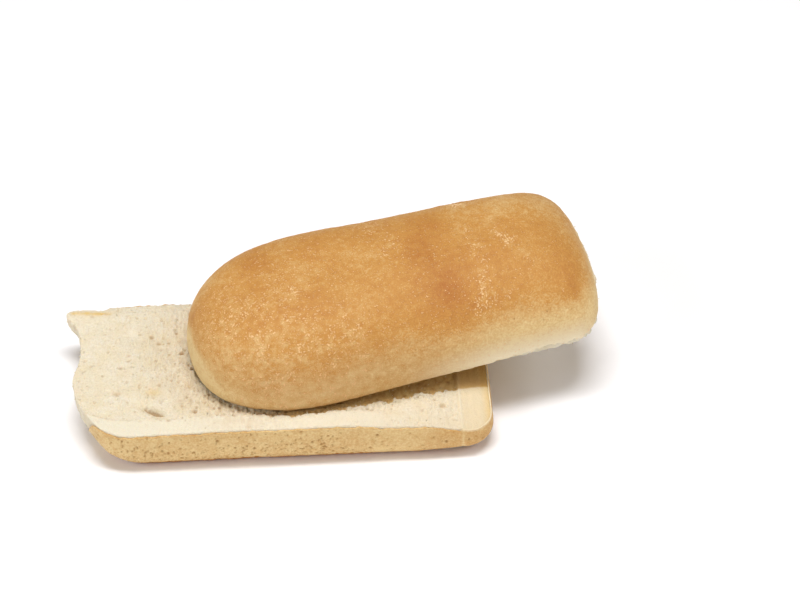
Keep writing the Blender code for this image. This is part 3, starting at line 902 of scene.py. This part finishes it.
def hollow_share(points, outside):
    """1 in the hollow under the top half's front rim, 0 past a ragged line a little outside that rim.

    Two noises move the line in and out. The hollow also ends further in under the top half, and to the left.
    """
    line = 0.4 + 1.1 * lattice_noise(points, 1.4, seed=33) + 1.3 * lattice_noise(points, 4.5, seed=34)
    hollow = fade(outside, line - 0.2, line + 0.4) * ease(outside, *HOLLOW_BACK)
    return hollow * ease(points[..., 0], *HOLLOW_START)


def base_cut_face(x, y, v):
    """The bottom half's finished cut face and what its points carry: height, painted shade, tan and
    smoothness.

    The height is the plain cut face less fuzz and pores, which are rougher where it is torn up and weaker on
    the rim band and the strip, less the slit's mouth and the hollow, plus the band's ridge and the strip's
    fold. Shade is painted into the pores, the slit, the hollow, the torn-up fuzz beside the top half's round
    end and the strip under its rim, and the right end is painted a little browner. The ear, one dent and the
    strip are tan, and the hollow and the shaded strip get a warm painted shade as tan.
    """
    points = np.stack([x, y, base_cut_height(x, y)], axis=-1)
    outside = outside_top_half(x, y)
    smooth = smooth_share(x, v)
    strip = ease(x, *STRIP_EDGE)
    fold = bump(x, STRIP_EDGE[1], 0.8)
    wrinkles = np.sin(x / 0.55 + 1.4 * lattice_noise(points, 4.0, seed=29)) * strip
    torn_up = bump(np.maximum(outside, 0.0), 0.0, TORN_UP_REACH) * fade(x, *TORN_UP_FADE)
    roughness = 1.0 + 0.5 * tufted_share(x, y) + 0.9 * torn_up
    roughness = roughness * (1.0 - 0.7 * smooth) * (1.0 - 0.85 * strip)
    pores = crumb_pores(points, seed=21) * roughness
    fibres = crumb_fibres(points, seed=25)
    single = sum(bump(x, px, radius) * bump(y, py, 0.7 * radius) for px, py, radius in SINGLE_PORES)
    mouth = slit_mouth(x, y)
    hollow = hollow_share(points, outside) * (1.0 - strip)

    height = points[..., 2] + FIBRE_HEIGHT * (fibres - 1.0) * roughness - PORE_DEPTH * pores
    height = height - SINGLE_PORE_DEPTH * unit(single) - SLIT_MOUTH_DEPTH * mouth
    height = height + BAND_RIDGE * 4.0 * smooth * (1.0 - smooth)
    height = height + STRIP_RISE * strip + STRIP_WRINKLE * wrinkles + STRIP_FOLD * fold
    height = height - HOLLOW_DEPTH * hollow

    # where the top half's rim shades the strip, shade is painted on it
    painted_shade_under_rim = fade(outside, 0.6, 1.6)
    # painted shade beside the top half's round end, darkest between the fibres
    round_end_painted_shade = PAINTED_SHADE_BY_ROUND_END * torn_up * unit(0.7 - 0.8 * fibres)
    # painted shade in the pores, the slit's mouth, the hollow, beside the round end and on the strip under the
    # rim
    painted_shade_and_right_browning = unit(0.4 * pores + 0.5 * single + 0.6 * mouth)
    painted_shade_and_right_browning = painted_shade_and_right_browning + HOLLOW_PAINTED_SHADE * hollow * (0.8 + 0.9 * fibres) + round_end_painted_shade + 0.5 * painted_shade_under_rim * strip
    painted_shade_and_right_browning = painted_shade_and_right_browning + RIGHT_TINT * ease(x, *RIGHT_TINT_SPAN)

    patchy = unit(1.6 * (0.5 + 0.5 * lattice_noise(points, 1.8, seed=30)))
    to_end = fade(BASE_LENGTH / 2.0 - x, 0.5, 4.5)
    tan = near_path(points, EAR_CRUST, EAR_CRUST_WIDTH) * patchy
    tan = tan + 0.5 * bump(x, DENTS[0][0], 3.2) * bump(y, DENTS[0][1], 2.2)
    # the strip under the top half's rim and the hollow get a warm painted shade in this tan too
    tan = tan + strip * (STRIP_TAN * (1.0 - 0.8 * fold) + 0.6 * painted_shade_under_rim + STRIP_AMBER * to_end)
    tan = tan + HOLLOW_PAINTED_WARM_SHADE * hollow
    return height, unit(painted_shade_and_right_browning), unit(tan), unit(smooth + 0.5 * strip)


def make_base_crumb(material, shift):
    """The crumb of the bottom half, and roots for shreds on it.

    A grid over the cut face stands at the cut height less the pores and fibres. Rings of wall points go down
    from its border, inside the crust, and come out to the surface where the crust is torn off. Shreds grow
    mostly on the tufts and at the torn end. They stand up from the face and out from the wall.
    """
    u, v, ring = base_grid(CUT_GRID)
    rows, columns = u.shape
    x, y = base_plan(u, v)
    inset = CRUST_EDGE + SHELL_GAP
    torn = torn_share(x, y)
    x_in = x * (1.0 - inset / (BASE_LENGTH / 2.0)) * (1.0 - torn) + x * torn
    y_in = y * (1.0 - inset / (BASE_WIDTH / 2.0))
    height, painted_shade_and_right_browning, tan, smooth = base_cut_face(x, y, v)
    cut_face = np.stack([x_in, y_in, height], axis=-1).reshape(-1, 3)

    foot = base_foot(u.ravel()[ring], v.ravel()[ring])
    depth = np.linspace(0.0, 1.0, CRUMB_WALL_ROWS + 1)[1:, None] + np.zeros(len(ring))
    wall = base_wall(cut_face[ring], foot, depth)
    bare = torn.ravel()[ring] * fade(depth, *BARE_WALL_FADE)
    inwards = (CRUST_THICKNESS - CRUST_EDGE) * (1.0 - bare) * unit((depth - 0.02) / 0.24)
    wall_pores = crumb_pores(wall, seed=21) * bare
    inwards = inwards + PORE_DEPTH * wall_pores - FIBRE_HEIGHT * crumb_fibres(wall, seed=25) * bare
    wall[..., :2] -= outward_of(foot) * inwards[..., None]
    wall[..., 2] = np.maximum(wall[..., 2], CRUST_THICKNESS + SHELL_GAP)
    points = np.concatenate([cut_face, wall.reshape(-1, 3)]) + shift

    wall_rings = len(cut_face) + np.arange(depth.size).reshape(depth.shape)
    rings = np.concatenate([ring[None], wall_rings])
    strips, fans = strip_faces(rings[-1], rows, columns)
    quads = [ring_faces(upper, lower) for upper, lower in itertools.pairwise(rings)]
    quads = np.concatenate([grid_faces(rows, columns), *quads, strips])
    blank = np.zeros(depth.size)
    attributes = {
        # painted shade on the cut face and in the pores of the bare torn wall, and the browner right end
        "painted_shade_and_browning": np.concatenate([painted_shade_and_right_browning.ravel(), 0.7 * wall_pores.ravel()]),
        "tan": np.concatenate([tan.ravel(), blank]),
        "smooth": np.concatenate([smooth.ravel(), blank]),
    }
    piece = add_piece("base_crumb", points, quads, fans, material, attributes)
    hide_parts("bottom_half")

    tufts = tufted_share(x, y)
    likely = (0.10 + 0.3 * tufts) * (1.0 - smooth_share(x, v)) * fade(x, *STRIP_EDGE)
    weights = np.concatenate([likely.ravel(), 0.15 * bare.ravel()])
    upwards = np.tile([0.0, -0.15, 1.0], (len(cut_face), 1))
    sideways = np.concatenate([outward_of(foot), np.zeros((len(foot), 1))], axis=1)
    directions = np.concatenate([upwards, np.tile(sideways, (CRUMB_WALL_ROWS, 1))])
    lengths = np.concatenate([(0.4 + 0.6 * tufts).ravel(), np.full(depth.size, 0.7)])
    return points, directions, lengths, weights


def wall_toast(wall, depth, up, wander, strip, crease):
    """How browned the bottom half's outer wall is.

    Two noises mottle a pale ground. It is amber towards the right end and brown at the foot. Along a thin
    line under the left part of the rim it is browner: the crust's darker edge, with a painted shadow under the
    crumb's lip. It is paler on the strip and its crease.
    """
    mottle = 0.06 * lattice_noise(wall, 12.0, seed=46) + 0.05 * lattice_noise(wall, 4.0, seed=47)
    amber = AMBER_END * ease(wall[..., 0], 50.0, 88.0) * (1.0 - 0.9 * crease)
    foot_edge = 0.86 + 0.03 * wander
    brown_foot = 0.9 * ease(depth, foot_edge, foot_edge + 0.04)
    # a browner crust edge with a painted shadow under the crumb's lip, on the left part of the rim
    painted_lip_shadow_and_edge = 0.12 * ease(up, 0.955, 0.985) * fade(wall[..., 0], -30.0, 0.0)
    pale_fold = 0.05 * strip * fade(depth, 0.05, 0.45)
    return WALL_TOAST + mottle + amber + brown_foot + painted_lip_shadow_and_edge - 0.09 * crease - pale_fold


def make_base_crust(material, shift):
    """The crust of the bottom half: rings from the underside up the outer wall and down the inner wall.

    Its upper edge wanders a little, and lies near the foot where the crust is torn off. The outer wall stands
    out by the crust's relief less the pits, and is notched at the foot. Strips close both ends of the rings.
    """
    u, v, ring = base_grid(WALL_GRID)
    rows, columns = u.shape
    x, y = base_plan(u.ravel()[ring], v.ravel()[ring])
    strip = ease(x, *STRIP_EDGE)
    rim = np.stack([x, y, base_cut_height(x, y) + STRIP_RISE * strip], axis=-1)
    foot = base_foot(u.ravel()[ring], v.ravel()[ring])
    outward = outward_of(foot)
    line = rim * [1.0, 1.0, 0.0]
    wander = lattice_noise(line, 5.0, seed=31) + 0.6 * lattice_noise(line, 2.0, seed=32)
    torn = torn_share(x, y)
    torn_top, cut_top = 0.82 + 0.05 * wander, 0.04 + 0.03 * wander
    top = np.clip(torn * torn_top + (1.0 - torn) * (1.0 - strip) * cut_top, 0.0, 0.92)
    up = np.linspace(0.0, 1.0, CRUST_WALL_ROWS + 1)[:, None]
    depth = 1.0 - (1.0 - top) * up
    wall = base_wall(rim, foot, depth)
    pitted = PIT_TOP_SHARE + (1.0 - PIT_TOP_SHARE) * ease(depth, 0.2, 0.6)
    pitted = pitted * (1.0 - 0.8 * ease(wall[..., 0], 10.0, 60.0))
    pits = np.max([
        bubbles(wall, cell, (smallest, largest), share * pitted, seed=36 + order)
        for order, (cell, smallest, largest, share) in enumerate(WALL_PITS)], axis=0)
    crease = bump(wall[..., 0], STRIP_EDGE[1], 0.6) * (wall[..., 1] < 0.0)
    stand_out = crust_relief(wall, seed=41) - PIT_DEPTH * pits - STRIP_CREASE * crease
    wall[..., :2] += outward * (stand_out * fade(up, 0.92, 1.0))[..., None]
    notch = unit(lattice_noise(line, 6.0, seed=44) + 0.5 * lattice_noise(line, 2.2, seed=45))
    wall[..., 2] += FOOT_NOTCH * notch * ease(depth, 0.86, 1.0)

    flat = foot * [1.0, 1.0 - FLAT_INSET / (BASE_WIDTH / 2.0), 0.0]
    left, right = foot[:, 0].min(), foot[:, 0].max()
    flat[:, 0] = np.interp(foot[:, 0], (left, right), (left + FLAT_INSET, UNDERSIDE_LIFT_FROM))
    inner_depth = top + (1.0 - top) * np.linspace(0.0, 1.0, INNER_ROWS)[:, None]
    inner_wall = base_wall(rim, foot, inner_depth)
    thickness = CRUST_EDGE + (CRUST_THICKNESS - CRUST_EDGE) * ease(inner_depth - top, 0.0, 0.3)
    inner_wall[..., :2] -= outward * thickness[..., None]
    inner_wall[..., 2] = np.maximum(inner_wall[..., 2], CRUST_THICKNESS)

    rings = np.concatenate([flat[None], wall, inner_wall])
    indices = np.arange(rings.shape[0] * rings.shape[1]).reshape(rings.shape[:2])
    under_strips, under_fans = strip_faces(indices[0], rows, columns)
    inner_strips, inner_fans = strip_faces(indices[-1], rows, columns)
    quads = [ring_faces(upper, lower) for lower, upper in itertools.pairwise(indices)]
    quads = np.concatenate([*quads, under_strips, inner_strips[:, ::-1]])
    triangles = np.concatenate([under_fans, inner_fans[:, ::-1]])

    toast = wall_toast(wall, depth, up, wander, strip, crease)
    under, outer, inner = np.zeros((1, len(ring))), np.zeros(depth.shape), np.zeros(inner_depth.shape)
    carried = {
        "toast": (under + 1.0, toast, inner + 0.3),
        "pit": (under, unit(0.85 * pits), inner),
        "dots": (under, 0.45 * pitted, inner),
        "flour": (under + 0.04, outer + 0.04, inner + 0.04),
        "dust": (under, outer, inner),
        "cream": (under, 0.5 * strip * fade(depth, 0.02, 0.10), inner + strip),
    }
    attributes = {name: np.concatenate(parts).ravel() for name, parts in carried.items()}
    points = rings.reshape(-1, 3) + shift
    piece = add_piece("base_crust", points, quads, triangles, material, attributes)
    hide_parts("bottom_half")


# ---------------------------------------------------------------- top half

def pale_band(local):
    """1 on the pale lower side of the top half, 0 on its browned top.

    The band's upper edge rises towards the torn end and round the left tip, is lower at the back, and wanders
    by two noises. It is sharpest at the left tip.
    """
    x, y, z = local[..., 0], local[..., 1], local[..., 2]
    edge = LOWER_SIDE_HEIGHT + 12.0 * ease(x, -75.0, -20.0) + 5.0 * ease(x, 0.0, 60.0)
    edge = edge + 2.2 * lattice_noise(local, 14.0, seed=51) + 0.8 * lattice_noise(local, 4.0, seed=52)
    edge = edge - 7.0 * ease(y, 0.0, 20.0) + 8.0 * fade(x, -98.0, -86.0)
    softness = 4.5 + 5.5 * ease(x, -88.0, -45.0)
    return fade(z, edge - softness, edge + softness)


def top_flour(local):
    """Flour on the top half as a share of specks, and the crinkled streaks in which it lies thickest.

    Flour is a sum of spots plus the streaks, broken up by a noise, over a thin dusting.
    """
    clumps = 0.5 + 0.5 * ease(lattice_noise(local, 4.5, seed=65), -0.4, 0.4)
    streak = np.max([near_path(local, path, STREAK_WIDTH) for path in FLOUR_STREAKS], axis=0) * clumps
    streak = streak * ease(local[..., 2], 25.0, 32.0)
    flour = np.clip(1.1 * sum_of_spots(local, FLOUR_PATCHES) + 0.60 * streak, 0.0, 0.8)
    flour = flour * (0.6 + 0.6 * lattice_noise(local, 3.5, seed=63)) + FLOUR_DUSTING
    return flour - 0.05 * ease(local[..., 0], 0.0, 50.0), streak


def top_toast(local, x, flour, band):
    """How browned the top crust is.

    Above, two noises, spots and a mottle under the flour vary a golden ground, paler at the left tip; two of
    the paler spots are painted light. The band below is paler, mostly towards the torn end. Both grow paler
    right at the torn end.
    """
    along = local[..., 0]
    above = TOP_TOAST + 0.13 * lattice_noise(local, 20.0, seed=71) + 0.06 * lattice_noise(local, 7.0, seed=72)
    # the paler spots include a painted highlight and painted light low on the round end's front
    above = above + 0.5 * flour * lattice_noise(local, 1.7, seed=74) + sum_of_spots(local, TOAST_PATCHES_AND_PAINTED_LIGHT)
    above = above - 0.10 * fade(along, -92.0, -60.0)
    below = LOWER_SIDE_TOAST * (1.0 - 0.8 * ease(along, 0.0, 50.0)) * ease(along, -96.0, -70.0)
    below = below + 0.10 * lattice_noise(local, 2.2, seed=75) * fade(along, -20.0, 20.0)
    toast = above * (1.0 - band) + below * band
    to_end = TOP_LENGTH / 2.0
    toast = toast * (1.0 - 0.15 * ease(x, to_end - 22.0, to_end - 8.0))
    return toast * (1.0 - 0.5 * ease(x, to_end - 5.0, to_end - 2.5))


def top_shell_faces(count, around):
    """Faces of the top half's crust, whose sections run over the outer wall and back along the inner wall.

    Quads join the sections. At the round end each wall is closed by a fan from its tip, and two quads join
    the tips along the rims. At the torn end triangles close the gap between the walls, each outer point to
    its nearest inner point.
    """
    tip, inner_tip = count * around, count * around + 1
    outer = np.arange(CRUST_ARC - 1)
    inner = np.arange(CRUST_ARC, around - 1)
    rims = np.array([[tip, CRUST_ARC - 1, CRUST_ARC, inner_tip], [inner_tip, around - 1, 0, tip]])
    last = (count - 1) * around
    inner_place = np.arange(CRUST_ARC) * (CRUST_INNER_ARC - 1) / (CRUST_ARC - 1)
    nearest = around - 1 - np.round(inner_place).astype(int)
    step = nearest[:-1] != nearest[1:]
    triangles = np.concatenate([
        np.stack([np.full_like(outer, tip), outer, outer + 1], axis=1),
        np.stack([np.full_like(inner, inner_tip), inner, inner + 1], axis=1),
        last + np.stack([outer + 1, outer, nearest[:-1]], axis=1),
        last + np.stack([outer[step] + 1, nearest[:-1][step], nearest[1:][step]], axis=1),
    ])
    return np.concatenate([loft_faces(count, around), rims]), triangles


def with_tips(values):
    """Values of a loft's points in one row, with zeros for its two tips."""
    return np.append(values.ravel(), [0.0, 0.0])


def make_top_crust(material, shift):
    """The crust of the top half: a lofted shell, open below, that stops in a ragged edge at the torn end.

    The outer wall is the dome moved out by the crust's relief, with burst blisters under the flour and
    crinkles in its streaks. Its lower rim is drawn up in ragged teeth, mostly towards the torn end. The inner
    wall is the dome drawn in by the crust's thickness.
    """
    turn = even_turns(CRUST_ARC)
    inner_turn = even_turns(CRUST_INNER_ARC)[::-1]
    stations = even_stations(TOP_STATIONS)
    half = TOP_LENGTH / 2.0
    reach = (stations[:, None] + half) / (2.0 * half)
    x = -half + reach * (crust_edge(turn) + half)
    local = top_dome(x, turn[None, :])
    flour, streak = top_flour(local)
    blisters = bubbles(local, 1.9, (0.4, 0.9), flour, seed=64)
    skewed = (local[..., 0] + 0.35 * local[..., 1]) / CRINKLE_LENGTH
    crinkle = np.sin(skewed + 2.0 * lattice_noise(local, 3.0, seed=66))
    relief = crust_relief(local, seed=61) + BLISTER_HEIGHT * blisters + CRINKLE_HEIGHT * crinkle * streak
    relief = relief * ease(stations, -half, -half + 3.0)[:, None]
    dome = local + normals_of(local) * relief[..., None]
    from_rim = local[..., 2] - curl(local[..., 0])
    ragged = unit(0.25 + 0.9 * lattice_noise(local, 1.2, seed=68) + 0.8 * lattice_noise(local, 4.0, seed=69))
    ragged = RAGGED_RIM * ragged * (0.1 + 0.9 * ease(local[..., 0], 25.0, 55.0))
    dome[..., 2] += ragged * fade(from_rim, 0.0, 5.0)

    inner_x = -half + reach * (crust_edge(inner_turn) + half)
    inner = top_dome(inner_x, inner_turn[None, :], crust_inset(inner_turn))
    sections = np.concatenate([dome, inner], axis=1)
    tips = [[-half, 0.0, 0.0], [-half + CRUST_THICKNESS, 0.0, 0.0]]
    points = place_top(np.concatenate([sections.reshape(-1, 3), tips])) + shift
    quads, triangles = top_shell_faces(*sections.shape[:2])

    band = pale_band(local)
    dots = 0.12 + 0.25 * ease(lattice_noise(local, 9.0, seed=73), 0.0, 0.8)
    cream = 0.95 * fade(from_rim, 1.0, 17.0) * ease(local[..., 0], -15.0, 45.0) * fade(x, 78.0, 92.0)
    carried = {
        "toast": top_toast(local, x, flour, band),
        "flour": flour,
        "dots": dots * (1.0 - 0.6 * band),
        "dust": 0.09 * unit(flour + 0.3 * streak),
        "cream": cream,
        "pit": np.zeros_like(flour),
    }
    spare = np.zeros(inner.shape[:2])
    attributes = {
        name: with_tips(np.concatenate([values, spare], axis=1)) for name, values in carried.items()}
    piece = add_piece("top_crust", points, quads, triangles, material, attributes)
    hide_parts("top_half")


def tipped_loft_faces(count, around):
    """Quads between a loft's sections, and the fans that join its first and last section to its two tips."""
    here = np.arange(around)
    after = (here + 1) % around
    last = (count - 1) * around
    start_fan = np.stack([np.full(around, count * around), here, after], axis=1)
    end_fan = np.stack([np.full(around, count * around + 1), last + after, last + here], axis=1)
    return loft_faces(count, around), np.concatenate([start_fan, end_fan])


def make_top_crumb(material, shift):
    """The crumb of the top half, and roots for shreds on it.

    It is a loft inside the crust, with its cut face below and the torn end bare. Towards the torn end it
    comes out past the crust in patches along the lower rims, and hangs below the front rim as a low fringe.
    Shreds grow on the rims and on the end.
    """
    turn = even_turns(CRUMB_ARC)
    stations = even_stations(TOP_STATIONS)
    half = TOP_LENGTH / 2.0
    x = stations[:, None] + np.zeros(CRUMB_ARC)
    bare = ease(x, crust_edge(turn) - 1.2, crust_edge(turn) + 0.6)
    inset = (crust_inset(turn) + SHELL_GAP) * (1.0 - bare)
    dome = top_dome(x, turn[None, :], inset)
    patches = unit(0.4 + 1.6 * lattice_noise(dome, 2.2, seed=90)) * ease(x, 40.0, 62.0)
    patches = patches * fade(dome[..., 2] - curl(x), 1.2, 2.8)
    dome = top_dome(x, turn[None, :], inset - patches * (CRUST_EDGE + RIM_STAND_OUT))
    share = np.linspace(0.0, 1.0, CRUMB_UNDERSIDE + 2)[None, 1:-1]
    underside = top_underside(dome[:, :1], dome[:, -1:], share)
    under_pores = crumb_pores(underside, seed=81) * unit(8.0 * share * (1.0 - share))
    underside[..., 2] += PORE_DEPTH * under_pores + 0.2 + 0.2 * crumb_fibres(underside, seed=83)

    sections = np.concatenate([dome, underside], axis=1)
    rim_distance = np.linalg.norm(sections - sections[:, :1], axis=-1)
    fringe = unit(0.5 + lattice_noise(sections, 1.6, seed=89)) * ease(sections[..., 0], 30.0, 70.0)
    sections[..., 2] -= RIM_FRINGE * fringe * fade(rim_distance, 0.0, 3.0)
    sections[..., 0] += torn_crags(sections)
    end_pores = crumb_pores(dome, seed=85) * bare
    inwards = PORE_DEPTH * end_pores - FIBRE_HEIGHT * crumb_fibres(dome, seed=87) * bare
    sections[:, :CRUMB_ARC] -= normals_of(dome) * inwards[..., None]
    tips = [[-half + CRUST_THICKNESS + SHELL_GAP, 0.0, 0.05], [half, 0.0, CURL]]
    points = place_top(np.concatenate([sections.reshape(-1, 3), tips])) + shift
    quads, fans = tipped_loft_faces(*sections.shape[:2])

    on_end = np.concatenate([bare, np.zeros_like(under_pores)], axis=1)
    attributes = {
        # painted shade in the pores of the torn end and of the cut face
        "painted_shade_and_browning": with_tips(np.concatenate([end_pores, under_pores], axis=1)),
        "tan": with_tips(0.35 * on_end),
        "smooth": with_tips(fade(rim_distance, 1.0, 4.0)),
    }
    piece = add_piece("top_crumb", points, quads, fans, material, attributes)
    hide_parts("top_half")

    columns = np.arange(sections.shape[1])
    on_rim = np.isin(columns, (0, 1, len(columns) - 1)) * ease(sections[..., 0], 15.0, 60.0)
    weights = with_tips(0.1 * on_rim + 0.1 * on_end)
    outwards = np.where(on_end[..., None] > 0.5, [1.0, 0.2, 0.0], [0.0, -0.6, -0.8])
    directions = np.concatenate([outwards.reshape(-1, 3), np.zeros((2, 3))])
    return points, directions, np.full(len(points), 0.8), weights


# ---------------------------------------------------------------- shreds

def make_shreds(name, node, count, roots, material, seed):
    """Torn crumb fibres: thin bent three-sided spikes, from a ring sunk in the crumb to a tip.

    They stand by surface points drawn by weight. Each leans from its surface's direction by a random amount,
    and bends sideways by a share of its length, by way of a narrower ring half way along.
    """
    points, directions, lengths, weights = roots
    rng = np.random.default_rng(seed)
    chosen = rng.choice(len(points), count, p=weights / weights.sum())
    direction = directions[chosen] + rng.normal(0.0, 0.45, (count, 3))
    direction /= np.linalg.norm(direction, axis=1)[:, None]
    bend = rng.normal(0.0, 0.3, (count, 3))
    length = (lengths[chosen] * rng.uniform(0.5, 1.4, count))[:, None]
    width = rng.uniform(*SHRED_WIDTH, count)[:, None]
    root = points[chosen] + rng.uniform(-0.2, 0.2, (count, 3))
    side = np.cross(direction, rng.normal(0.0, 1.0, (count, 3)))
    side /= np.linalg.norm(side, axis=1)[:, None]
    other_side = np.cross(direction, side)
    turns = (np.arange(3) * 2.0 * math.pi / 3.0)[None, :, None]
    ring = np.cos(turns) * side[:, None] + np.sin(turns) * other_side[:, None]
    low = (root - SHRED_SUNK * direction)[:, None] + ring * width[:, None]
    middle = (root + length * (0.55 * direction + 0.3 * bend))[:, None] + 0.65 * ring * width[:, None]
    tip = (root + length * (direction + bend))[:, None]
    shreds = np.concatenate([low, middle, tip], axis=1)
    shreds[..., 2] = np.maximum(shreds[..., 2], 0.2)
    first = 7 * np.arange(count)[:, None, None]
    quads = (first + np.array([[0, 1, 4, 3], [1, 2, 5, 4], [2, 0, 3, 5]])).reshape(-1, 4)
    triangles = (first + np.array([[3, 4, 6], [4, 5, 6], [5, 3, 6], [0, 2, 1]])).reshape(-1, 3)
    blank = np.zeros(7 * count)
    attributes = {"painted_shade_and_browning": blank, "tan": blank + 0.2, "smooth": blank + 1.0}
    piece = add_piece(name, shreds.reshape(-1, 3), quads, triangles, material, attributes)
    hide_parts(node)


# ---------------------------------------------------------------- studio

def add_softbox(name, place, power, width, depth, color):
    """Add one rectangular softbox that points at the middle of the object."""
    light = bpy.data.lights.new(name, "AREA")
    light.shape = "RECTANGLE"
    light.size = width
    light.size_y = depth
    light.energy = power
    light.color = linear(color)[:3]
    lamp = bpy.data.objects.new(name, light)
    lamp.location = place
    lamp.rotation_euler = (-Vector(place)).to_track_quat("-Z", "Y").to_euler()
    bpy.context.scene.collection.objects.link(lamp)


def add_studio():
    """White board, four softboxes, pale warm surroundings, and the camera."""
    mesh = bpy.data.meshes.new("floor")
    corners = [(-FLOOR_REACH, -FLOOR_REACH, 0), (FLOOR_REACH, -FLOOR_REACH, 0),
               (FLOOR_REACH, FLOOR_REACH, 0), (-FLOOR_REACH, FLOOR_REACH, 0)]
    mesh.from_pydata(corners, [], [(0, 1, 2, 3)])
    mesh.materials.append(white_floor())
    floor = bpy.data.objects.new("floor", mesh)
    bpy.context.scene.collection.objects.link(floor)

    for settings in STUDIO_LIGHTS:
        add_softbox(*settings)

    world = bpy.data.worlds.new("pale_surroundings")
    world.use_nodes = True
    background = world.node_tree.nodes["Background"]
    background.inputs["Color"].default_value = linear(SURROUNDINGS[0])
    background.inputs["Strength"].default_value = SURROUNDINGS[1]
    bpy.context.scene.world = world
    bpy.context.scene.view_settings.view_transform = "Standard"

    lens = bpy.data.cameras.new("camera")
    lens.lens = LENS
    lens.sensor_width = SENSOR_WIDTH
    camera = bpy.data.objects.new("camera", lens)
    camera.location = CAMERA_PLACE
    camera.rotation_euler = (Vector(CAMERA_AIM) - camera.location).to_track_quat("-Z", "Y").to_euler()
    bpy.context.scene.collection.objects.link(camera)
    bpy.context.scene.camera = camera


crust = baked_crust()
crumb = bread_crumb()
to_frame = frame_shift()
base_roots = make_base_crumb(crumb, to_frame)
make_base_crust(crust, to_frame)
make_top_crust(crust, to_frame)
top_roots = make_top_crumb(crumb, to_frame)
make_shreds("base_shreds", "bottom_half", BASE_SHREDS, base_roots, crumb, seed=11)
make_shreds("top_shreds", "top_half", TOP_SHREDS, top_roots, crumb, seed=10)
add_studio()
